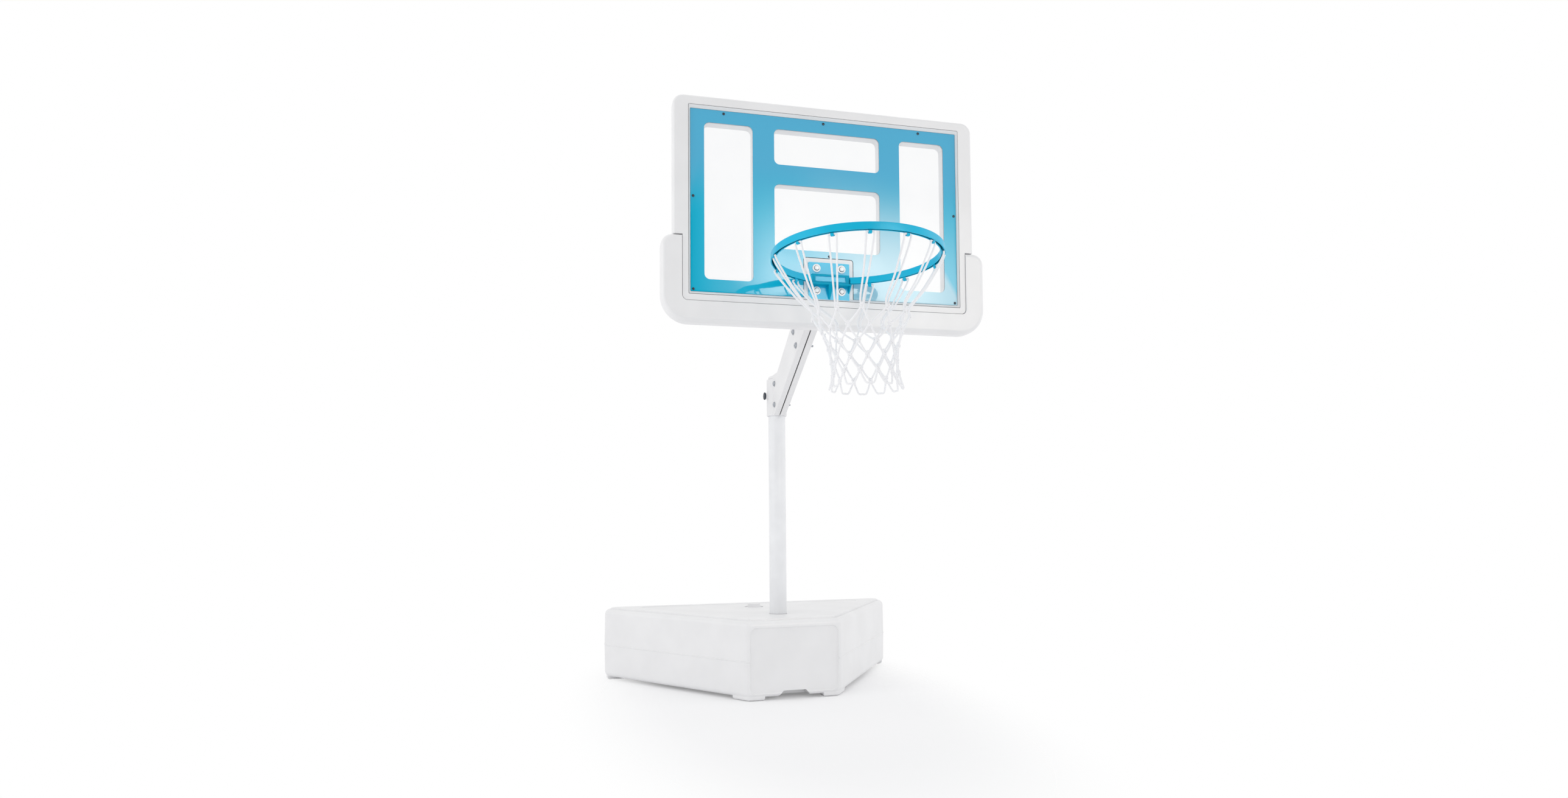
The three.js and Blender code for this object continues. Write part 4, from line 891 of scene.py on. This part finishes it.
class HOOP_OT_sheet(bpy.types.Operator):
    """Makes the clear sheet and the print on it"""

    bl_idname = "hoop.sheet"
    bl_label = "Print and sheet"

    def execute(self, context):
        for node, name, finish, edge in (("print_film", "board_print", "blue_print", 0.15 * MM),
                                         ("clear_sheet", "board_sheet", "clear_sheet", 0.5 * MM)):
            low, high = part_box(node)
            front, back = low.y - OVERRUN, high.y + OVERRUN
            piece = plate_facing(name, box_corners(*face_of(node)), 3 * MM, low.y, high.y, edge)
            cut(piece, opening(pad_corners(1.5 * MM, low.z - 30 * MM), 9.5 * MM, front, back))
            if node == "print_film":
                cut(piece, *window_cutters(front, back))
            cut(piece, *bores("sheet_screw", 8, front, 20 * MM))
            smooth(piece, 30)
            dressed(piece, finish, node=node)
        self.bezel()
        frame_face, print_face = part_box("board_frame")[0].y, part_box("print_film")[0].y
        pad = pad_corners(0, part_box("clear_sheet")[0].z - 1 * MM)
        # Painted shade: black rings in the gaps round the sheet and the pad, partly seals
        self.seal_and_shade("sheet_seal_and_shade", box_corners(*sheet_recess()), 3 * MM, -0.3 * MM, 0.9 * MM, frame_face + 2 * MM)
        self.seal_and_shade("pad_seal_and_shade", pad, 8 * MM, -1.4 * MM, -0.1 * MM, print_face + 0.7 * MM)
        return {"FINISHED"}

    def bezel(self):
        """A white edge that slopes from the frame's face down to the print."""
        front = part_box("board_frame")[0].y
        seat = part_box("clear_sheet")[0].y - 0.2 * MM
        wall, edge = box_corners(*sheet_recess()), box_corners(*face_of("print_film", 0.8 * MM))
        rings = [(wall, 1 * MM, front + 1.2 * MM), (wall, 1.8 * MM, front + 0.9 * MM), (edge, 0, seat - 0.9 * MM),
                 (edge, 0, seat), (wall, 1 * MM, seat)]
        rings = [facing(filleted(corners, 3 * MM, inset, 6), y) for corners, inset, y in rings]
        piece = lofted("sheet_bezel", rings, closed=True)
        smooth(piece, 30)
        dressed(piece, "white_moulding")

    def seal_and_shade(self, name, corners, radius, outer, inner, front):
        """A black ring in the gap round a fitted part: partly a seal, partly painted shade for the gap's shadow.
        """
        back = front + 3 * MM
        levels = [(outer, front), (inner, front), (inner, back), (outer, back)]
        dressed(stacked(name, facing, corners, radius, levels, 6, closed=True), "black_rubber")


class HOOP_OT_frame(bpy.types.Operator):
    """Makes the moulded frame behind the sheet"""

    bl_idname = "hoop.frame"
    bl_label = "Board frame"

    def execute(self, context):
        s = context.scene.hoop_board
        low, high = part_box("board_frame")
        bumper_low, bumper_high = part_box("bumper")
        front, back = low.y - OVERRUN, high.y + OVERRUN
        half, narrow = (high.x - low.x) / 2, low_half(s)
        shoulder, above = bumper_high.z + s.seam, high.z + 40 * MM
        corners = box_corners(POLE_X - half, POLE_X + half, bumper_low.z, high.z)
        block = plate_facing("frame_moulding", corners, s.corner, low.y, high.y, s.edge, 8, 14)
        outline = [(-narrow, low.z), (narrow, low.z), (narrow, shoulder), (half, shoulder),
                   (half, above), (-half, above), (-half, shoulder), (-narrow, shoulder)]
        radii = [s.low_corner, s.low_corner, 1.2 * MM, 4 * MM, MM, MM, 4 * MM, 1.2 * MM]
        shaped(block, "INTERSECT", opening(centred(outline), radii, front, back, 10))

        # The recess for the sheet and the pad behind the bracket
        recess = sheet_recess()
        face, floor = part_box("print_film")[0].y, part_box("clear_sheet")[1].y + SLACK
        cut(block, eased_cutter(box_corners(*recess), 3 * MM, 2 * MM, 0.4, low.y, floor, 6))
        pad = pad_corners(0, recess[2] - 8 * MM)
        joined(block, plate_facing("pad", pad, 8 * MM, face, floor + 3 * MM, 1.2 * MM))

        # The windows, the bores and the grooves of the back
        cut(block, *window_cutters(floor - 20 * MM, back))
        for pair in zip(bores("rim_bolt", 4, front, 80 * MM, 4.4 * MM, 24),
                        bores("bumper_screw", 4, high.y - 15 * MM, 30 * MM)):
            cut(block, *pair)
        cut(block, *bores("sheet_screw", 8, face - 0.2 * MM, 15.6 * MM))
        cut(block, *self.grooves(half, shoulder + 20 * MM, high.z - 20 * MM, high.y))
        softened(block, 0.9 * MM, 32)
        dressed(block, "white_moulding", node="board_frame")
        return {"FINISHED"}

    def grooves(self, half, low, high, back):
        """The back's grooves: one round three sides and one behind each bar beside the middle windows."""
        depth = 9 * MM

        def groove(corners, radius, draft, steps):
            levels = [(draft, back - depth), (0.5 * MM, back - depth + 4 * MM), (0, back), (0, back + OVERRUN)]
            return stacked("cutter", facing, corners, radius, levels, steps)

        width = 22 * MM
        outer = half - 20 * MM
        inner = outer - width
        outline = [(-outer, low), (-inner, low), (-inner, high - width), (inner, high - width),
                   (inner, low), (outer, low), (outer, high), (-outer, high)]
        left_window, _, _, centre_window = windows()
        away = POLE_X - (left_window[1] + centre_window[0]) / 2
        bar_half, bottom, top = 11 * MM, left_window[2] + 26 * MM, left_window[3] - 26 * MM
        bars = [centred(box_corners(x - bar_half, x + bar_half, bottom, top)) for x in (away, -away)]
        return [groove(centred(outline), 3 * MM, 4 * MM, 4), *(groove(bar, 7 * MM, 3 * MM, 6) for bar in bars)]


class HOOP_OT_bumper(bpy.types.Operator):
    """Makes the padded bumper round the frame's lower half"""

    bl_idname = "hoop.bumper"
    bl_label = "Bumper"

    def execute(self, context):
        s = context.scene.hoop_board
        low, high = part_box("bumper")
        frame_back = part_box("board_frame")[1].y
        corners = box_corners(*face_of("bumper"))
        radii = [s.bumper_corner, s.bumper_corner, s.bumper_arm, s.bumper_arm]
        body = plate_facing("bumper_moulding", corners, radii, low.y, high.y, s.bumper_edge, 10, 18)
        seat, seat_radii = self.notch(s, 0)
        way, way_radii = self.notch(s, 18 * MM)
        cut(body, eased_cutter(seat, seat_radii, 2.2 * MM, 0.35, low.y, frame_back + SLACK, 10),
            opening(way, way_radii, low.y - OVERRUN, high.y + OVERRUN, 10))
        cut(body, *bores("bumper_screw", 4, frame_back - 3 * MM, 30 * MM))
        softened(body, 0.8 * MM, 32)
        dressed(body, "white_moulding", node="bumper")
        return {"FINISHED"}

    def notch(self, s, ledge):
        """Corners and radii of the frame's outline with the seam round it, less a ledge and open above."""
        half = low_half(s) + s.seam - ledge
        low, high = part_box("board_frame")[0].z - s.seam + ledge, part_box("bumper")[1].z + 80 * MM
        radii = [s.low_corner + s.seam, s.low_corner + s.seam, MM, MM]
        return box_corners(POLE_X - half, POLE_X + half, low, high), radii


class HOOP_OT_screws(bpy.types.Operator):
    """Makes the small pan head screws with their cross recesses"""

    bl_idname = "hoop.screws"
    bl_label = "Small screws"

    def execute(self, context):
        screws = [(f"sheet_screw_{i}", "dark_steel", 1) for i in range(1, 9)]
        screws += [(f"bumper_screw_{i}", "bright_steel", -1) for i in range(1, 5)]
        head = mm((0, 0), (2.6, 0.2), (3.7, 0.7), (4.15, 1.3), (4.15, 1.75), (2, 1.8))
        slot = mm((-1.9, -0.4), (1.9, -0.4), (1.9, 0.4), (-1.9, 0.4))
        for node, finish, way in screws:
            low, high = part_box(node)
            length = high.y - low.y
            tip = [(2 * MM, length - 3 * MM), (0.3 * MM, length), (0, length)]
            screw = revolved(f"pan_{node}", [*head, *tip], 28)
            for turn in (0, math.pi / 2):
                cutter = lofted("cutter", [standing(slot, height) for height in (-1 * MM, 1.1 * MM)])
                cutter.data.transform(Matrix.Rotation(turn + 0.5, 4, "Z"))
                cut(screw, cutter)
            x, _, z = middle_of(node)
            screw.data.transform(to_the_front(x, low.y if way > 0 else high.y, z, way))
            smooth(screw)
            dressed(screw, finish, node=node)
        return {"FINISHED"}


class HOOP_OT_bracket(bpy.types.Operator):
    """Dresses the rim's bracket and makes its bolts with their white caps"""

    bl_idname = "hoop.bracket"
    bl_label = "Rim bracket"

    def execute(self, context):
        dressed_node("rim_bracket", "bracket_paint", 0.9 * MM)
        head, head_height, hole = 7 * MM, 4 * MM, 4.4 * MM
        crown = [(head * math.sin(a), 1.6 * MM * (1 - math.cos(a))) for a in quarter_turn(6)]
        for i in range(1, 5):
            x, _, z = middle_of(f"rim_bolt_{i}")
            low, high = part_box(f"rim_bolt_{i}")
            profile = [*crown, (head, head_height), *shank(head_height, high.y - low.y)]
            place = to_the_front(x, low.y, z)
            turned(f"rim_screw_{i}", profile, 36, place, 50, "white_cap", node=f"rim_bolt_{i}")
            low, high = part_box(f"rim_washer_{i}")
            outer, thick = (high.x - low.x) / 2 + 2.2 * MM, high.y - low.y
            rounded = [(outer + r, height) for r, height in mm((-2.2, 0), (-0.9, 0.4), (-0.2, 1.2), (0, 2.2))]
            profile = [(hole, thick), (hole, 0.6 * MM), (hole + 0.6 * MM, 0.05 * MM), *rounded,
                       (outer, thick - 0.1 * MM), (outer - 0.2 * MM, thick)]
            place = to_the_front(x, low.y, z)
            turned(f"rim_disc_{i}", profile, 48, place, 50, "white_cap", node=f"rim_washer_{i}")
            # A dark steel collar under each cap: partly the bolt's collar, partly painted shade round the head
            profile = [(head + r, height) for r, height in mm((0.05, 0.1), (0.05, -0.5), (0.9, -0.6), (1.7, 0.1))]
            turned(f"rim_collar_and_shade_{i}", profile, 48, place, 50, "dark_steel")
            dressed_node(f"rim_nut_{i}", "bright_steel", 0.7 * MM)
        return {"FINISHED"}


HOOK_DEGREES = (-150, -122.5, -89.5, -59.5, -35, -12.2, 12.2, 35, 59.5, 89.5, 122.5, 150)
HOOK_ANGLES = [math.radians(degrees - 90) for degrees in HOOK_DEGREES]
RIM_SKIN = 3 * MM
HOOK_THICKNESS = 3 * MM
HOOK_DROP = 12 * MM
RIM_GROOVE = 13 * MM


def rim_place(s):
    """Centre of the rim and the heights of its band."""
    low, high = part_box("rim_ring")
    return POLE_X, low.y + s.inner_radius + s.wall, high.z, high.z - s.band


def bight_radius(scene):
    """Radius at which the middle of the cord hangs in a hook."""
    return scene.hoop_rim.inner_radius + RIM_SKIN + SLACK + HOOK_THICKNESS + SLACK + scene.hoop_net.cord / 2


class HOOP_OT_rim(bpy.types.Operator):
    """Makes the rim's band, open below, its net hooks and a dark film of painted shade in its channel"""

    bl_idname = "hoop.rim"
    bl_label = "Rim"

    def execute(self, context):
        s = context.scene.hoop_rim
        x, y, top, bottom = rim_place(s)
        centre = Matrix.Translation((x, y, 0))
        inner, outer = s.inner_radius, s.inner_radius + s.wall
        near, far = inner + RIM_SKIN, outer - RIM_SKIN

        def bracket_gap():
            half = 61.3 * MM
            zone = box_corners(x - half, x + half, y, y + outer + OVERRUN)
            return lofted("cutter", [standing(zone, height) for height in (bottom - 20 * MM, top + OVERRUN)])

        edge, chamfer, groove = 3.2 * MM, 0.4 * MM, bottom + RIM_GROOVE
        lip = bottom + chamfer
        band = revolved("rim_band", [
            (outer, lip),
            *((outer - inset, top - depth) for depth, inset in rounding(edge, 5)),
            *((inner + inset, top - depth) for inset, depth in rounding(edge, 5)),
            (inner, lip), (inner + chamfer, bottom), (near - chamfer, bottom), (near, lip), (near, groove),
            (far, groove), (far, lip), (far + chamfer, bottom), (outer - chamfer, bottom),
        ], 192, centre)
        cut(band, bracket_gap())
        smooth(band, 32)
        dressed(band, "blue_paint", node="rim_ring")

        # Hooks that hold the cord just clear of the skin
        face = near + SLACK
        reach = bight_radius(context.scene) + context.scene.hoop_net.cord / 2 + SLACK
        foot = bottom - HOOK_DROP + 0.7 * MM
        line = [(face + 1.5 * MM, groove),
                *((face + r, foot + z) for r, z in mm((1.5, 4.5), (2, 2.6), (3.8, 1.5))),
                *((reach + r, foot + z) for r, z in mm((-1, 1.5), (0.8, 2.4), (1.5, 4.2), (1.5, 7)))]
        form = bmesh.new()
        for angle in HOOK_ANGLES:
            bent_strip(form, line, 1.8 * MM, 12 * MM, 9 * MM, centre @ Matrix.Rotation(angle, 4, "Z"))
        hooks = from_bmesh("rim_hooks", form)
        softened(hooks, 0.5 * MM, 40)
        dressed(hooks, "blue_paint")

        # A dark film inside the channel: painted shade
        lip, roof, film = bottom + 1.2 * MM, groove - 0.3 * MM, 0.2 * MM
        near, far = near + 0.1 * MM, far - 0.1 * MM
        channel_shade = revolved("rim_channel_shade", [
            (near, lip), (near, roof), (far, roof), (far, lip),
            (far - film, lip), (far - film, roof - film), (near + film, roof - film), (near + film, lip),
        ], 192, centre)
        cut(channel_shade, bracket_gap())
        dressed(channel_shade, "painted_shade_blue")
        return {"FINISHED"}


def bent_strip(form, line, thickness, root_width, tip_width, place):
    """A flat strip bent along a line of radius and height, narrower from its third point on."""
    rows = []
    for i, (r, z) in enumerate(line):
        before, after = line[max(i - 1, 0)], line[min(i + 1, len(line) - 1)]
        along = (Vector(after) - Vector(before)).normalized()
        side = Vector((-along.y, along.x)) * thickness / 2
        half = (root_width + (tip_width - root_width) * min(1, i / 2)) / 2
        rows.append([form.verts.new(place @ Vector((r + sign * side.x, way * half, z + sign * side.y)))
                     for sign, way in ((1, 1), (1, -1), (-1, -1), (-1, 1))])
    skin_rows(form, rows)


# Rows of knots and the bottom loops' feet: millimetres below the rim, radius in millimetres, twist in degrees
ROWS = [(163, 134, -4), (204, 113, -10), (245, 98, -13), (286, 92, -15), (325, 93, -15)]
FOOT = (362, 102, -15)


class HOOP_OT_net(bpy.types.Operator):
    """Makes the net of braided cord: loops over the hooks, crossing strands, knots and bottom loops"""

    bl_idname = "hoop.net"
    bl_label = "Net"

    def execute(self, context):
        s = context.scene.hoop_net
        x, y, _, bottom = rim_place(context.scene.hoop_rim)
        cord = s.cord
        thin = cord / 2 * 0.96
        pitch = 2 * math.pi / len(HOOK_ANGLES)
        bight = bight_radius(context.scene)
        bight_drop = HOOK_DROP - HOOK_THICKNESS - SLACK - cord / 2
        leg = 7.6 * MM + cord / 2

        def on_ring(radius, angle, drop, aside=0.0):
            sway = s.sway * (drop - bight_drop) / (FOOT[0] * MM - bight_drop)
            return Vector((x + radius * math.cos(angle) - aside * math.sin(angle) + sway,
                           y + radius * math.sin(angle) + aside * math.cos(angle), bottom - drop))

        def angle_at(row, place):
            return math.pi / 2 + place * pitch + math.radians(row[2])

        def at_row(row, place, aside=0.0, lower=0.0):
            return on_ring(row[1] * MM, angle_at(row, place), row[0] * MM + lower, aside)

        def sagging(start, end, share, drop):
            return start.lerp(end, share) - Vector((0, 0, drop))

        form = bmesh.new()
        for i, hook in enumerate(HOOK_ANGLES):
            loop = []
            for side in (-1, 1):
                knot = at_row(ROWS[0], i + 0.5, side * (cord / 2 + 0.3 * MM))
                neck = at_row(ROWS[0], i + 0.5, side * (cord / 2 + 1.2 * MM), -16 * MM)
                low = on_ring(bight, hook, bight_drop + cord, side * leg)
                high = on_ring(bight, hook, bight_drop + 1 * MM, side * leg)
                over = on_ring(bight, hook, bight_drop - 0.2 * MM, side * (leg - 2.2 * MM))
                span = [knot, neck, sagging(knot, low, 0.5, 2 * MM), low, high, over]
                loop += span if side < 0 else span[::-1]
            tube(form, spline(loop, 6), thin, 10)
            for row, (upper, lower) in enumerate(zip(ROWS, ROWS[1:])):
                place = i + (row + 1) / 2
                for side in (-1, 1):
                    start, end = at_row(upper, place), at_row(lower, place + side / 2)
                    tube(form, spline([start, sagging(start, end, 0.5, 2.5 * MM), end], 8), thin, 10)
            place = i + len(ROWS) / 2
            start, end = at_row(ROWS[-1], place), at_row(ROWS[-1], place + 1)
            left, right = (at_row(FOOT, place + 0.5, side * s.loop_half) for side in (-1, 1))
            low = sagging(left, right, 0.5, 0.4 * MM)
            loop = [start, sagging(start, left, 0.55, 2 * MM), left.lerp(low, 0.15), low,
                    right.lerp(low, 0.15), sagging(end, right, 0.55, 2 * MM), end]
            tube(form, spline(loop, 6), thin, 10)
            for row, level in enumerate(ROWS):
                place = i + (row + 1) / 2
                self.knot(form, at_row(level, place), angle_at(level, place), cord, row + i)
        net = from_bmesh("net_cords", form)
        smooth(net, 60)
        dressed(net, "white_cord", node="net")
        return {"FINISHED"}

    def knot(self, form, middle, angle, cord, turn):
        """An overhand knot, drawn tight, that faces out of the net."""
        half_width, half_height, half_depth = 4.6 * MM, 8.2 * MM, 2.7 * MM
        steps = 36
        out = Vector((math.cos(angle), math.sin(angle), 0))
        side = Vector((-out.y, out.x, 0))
        lean = 0.35 * (1 if turn % 2 else -1)
        points = []
        for k in range(steps + 1):
            t = 2 * math.pi * k / steps
            u = (math.sin(t) + 2 * math.sin(2 * t)) / 3
            v = (math.cos(t) - 2 * math.cos(2 * t)) / 3
            w = -math.sin(3 * t)
            u, v = u * math.cos(lean) - v * math.sin(lean), u * math.sin(lean) + v * math.cos(lean)
            points.append(middle + side * u * half_width + Vector((0, 0, v * half_height)) + out * w * half_depth)
        tube(form, points, cord * 0.46, 9)


class HOOP_OT_stage(bpy.types.Operator):
    """Makes the floor, the lamps, the world and the camera"""

    bl_idname = "hoop.stage"
    bl_label = "Stage"

    def execute(self, context):
        scene = context.scene
        self.floor()
        self.light("left", (-3.4, -0.9, 2.0), (0, 0, 0.7), 2.6, 22)
        self.light("right", (3.4, -1.0, 1.8), (0, 0, 0.6), 2.6, 17)
        self.light("top", (0.2, 0.2, 4.2), (0, 0, 0.9), 2.8, 11)
        self.light("bounce", (0.3, -2.3, 0.1), (0, -0.3, 1.6), 2.0, 2.5)
        self.card()
        self.world(scene)
        self.camera(scene)
        scene.view_settings.view_transform = "Standard"
        return {"FINISHED"}

    def seen(self, f):
        """1 for rays that show the background: from the camera, a mirror or a clear piece."""
        camera, glossy, through = (f.node("ShaderNodeLightPath", output=f"Is {ray} Ray")
                                   for ray in ("Camera", "Glossy", "Transmission"))
        return (camera + glossy + through).limited()

    def floor(self):
        """A white floor that keeps the hoop's shadow and fades into the background."""
        form = bmesh.new()
        bmesh.ops.create_circle(form, cap_ends=True, radius=9, segments=96)
        floor = from_bmesh("floor", form)
        f = Finish("Studio floor")
        oval = {0: f.place(), 1: (2, 1, 1), 2: (0, -0.15, 0)}
        spread = f.node("ShaderNodeVectorMath", {"operation": "MULTIPLY_ADD"}, oval)
        distance = f.node("ShaderNodeVectorMath", {"operation": "LENGTH"}, {0: spread}, output="Value")
        away = (0.2 + 0.8 * distance.between(0.75, 1.65)) * self.seen(f)
        white = f.node("ShaderNodeBsdfDiffuse", {}, {"Color": (0.95, 0.95, 0.96, 1)})
        f.end(f.blend(away, white, f.clear()))
        floor.data.materials.append(f.material)

    def world(self, scene):
        """White light all round, a little whiter where it is seen."""
        world = bpy.data.worlds.new("Studio")
        world.use_nodes = True
        scene.world = world
        f = Finish("Studio", world.node_tree)
        lit, plain = (f.node("ShaderNodeBackground", {}, {"Color": (1, 1, 1, 1), "Strength": strength})
                      for strength in (0.785, 1.0))
        f.end(f.blend(self.seen(f), lit, plain), "World")

    def light(self, name, place, aim, width, power):
        lamp = bpy.data.lights.new(name, "AREA")
        lamp.shape = "DISK"
        lamp.size = width
        lamp.energy = power
        holder = new_object(name, lamp)
        holder.location = place
        holder.rotation_mode = "QUATERNION"
        holder.rotation_quaternion = (Vector(aim) - Vector(place)).to_track_quat("-Z", "Y")
        holder.visible_camera = False

    def card(self):
        """A soft card in front of the board that shows only in gloss: bright at the right, dark at the left."""
        form = bmesh.new()
        corners = facing(box_corners(-1.1, 2.2, 1.3, 2.9), -2.5)
        form.faces.new([form.verts.new(p) for p in corners])
        card = from_bmesh("soft_card", form)
        f = Finish("Soft card")
        place = f.place()
        across, up = f.axis(place, "X"), f.axis(place, "Z")
        glow = across.between(0.12, 0.46) * (1 - 0.55 * across.between(1.25, 1.6)) * up.between(2.69, 2.0)
        glow = glow * across.between(2.2, 1.9) * up.between(1.5, 1.7)
        lit = f.blend(glow, f.clear(), f.glow((1, 0.93, 0.83), 8.0))
        shade = across.between(0.15, -0.1) * across.between(-1.1, -0.8)
        shade = shade * up.between(2.8, 2.4) * up.between(1.3, 1.5)
        f.end(f.blend(shade, lit, f.glow((0, 0, 0), 1.0)))
        card.data.materials.append(f.material)
        card.visible_camera = card.visible_diffuse = card.visible_shadow = card.visible_transmission = False

    def camera(self, scene):
        """The photograph's camera: its place, aim, focal length and off-centre frame."""
        lens = bpy.data.cameras.new("camera")
        camera = new_object("camera", lens)
        camera.location = (-0.7637, -2.6697, 0.6444)
        camera.rotation_mode = "QUATERNION"
        yaw, rise, roll = (math.radians(angle) for angle in (-12.07, 90 + 2.43, -0.30))
        turn = Matrix.Rotation(yaw, 3, "Z") @ Matrix.Rotation(rise, 3, "X") @ Matrix.Rotation(roll, 3, "Z")
        camera.rotation_quaternion = turn.to_quaternion()
        width, height, focal = 2576, 1311, 1322.5  # in pixels, as the place below that the lens looks straight at
        across, down = 1216.1, 797.6
        lens.sensor_width = 36
        lens.lens = lens.sensor_width * focal / width
        lens.shift_x = (width / 2 - across) / width
        lens.shift_y = (down - height / 2) / width
        lens.clip_start, lens.clip_end = 0.05, 60
        scene.camera = camera


class HOOP_PT_panel(bpy.types.Panel):
    """The hoop's sizes, colours and pieces"""

    bl_idname = "HOOP_PT_panel"
    bl_label = "Poolside hoop"
    bl_space_type = "VIEW_3D"
    bl_region_type = "UI"
    bl_category = "Hoop"

    def draw(self, context):
        for group in GROUPS:
            sizes = getattr(context.scene, group)
            box = self.layout.box()
            for key in sizes.bl_rna.properties.keys():
                if key not in ("rna_type", "name"):
                    box.prop(sizes, key)
        for operator in OPERATORS:
            self.layout.operator(operator.bl_idname)


GROUPS = {"hoop_tank": HoopTankSizes, "hoop_board": HoopBoardSizes, "hoop_rim": HoopRimSizes,
          "hoop_net": HoopNetSizes, "hoop_colours": HoopColours}
OPERATORS = (HOOP_OT_stage, HOOP_OT_tank, HOOP_OT_cap, HOOP_OT_pole, HOOP_OT_arm, HOOP_OT_sheet, HOOP_OT_frame,
             HOOP_OT_bumper, HOOP_OT_screws, HOOP_OT_bracket, HOOP_OT_rim, HOOP_OT_net)


def register():
    for group in (*GROUPS.values(), *OPERATORS, HOOP_PT_panel):
        bpy.utils.register_class(group)
    for name, group in GROUPS.items():
        setattr(bpy.types.Scene, name, PointerProperty(type=group))


def unregister():
    for name in GROUPS:
        delattr(bpy.types.Scene, name)
    for group in reversed((*GROUPS.values(), *OPERATORS, HOOP_PT_panel)):
        bpy.utils.unregister_class(group)


def main():
    register()
    for operator in OPERATORS:
        category, name = operator.bl_idname.split(".")
        getattr(getattr(bpy.ops, category), name)()


if __name__ == "__main__":
    main()
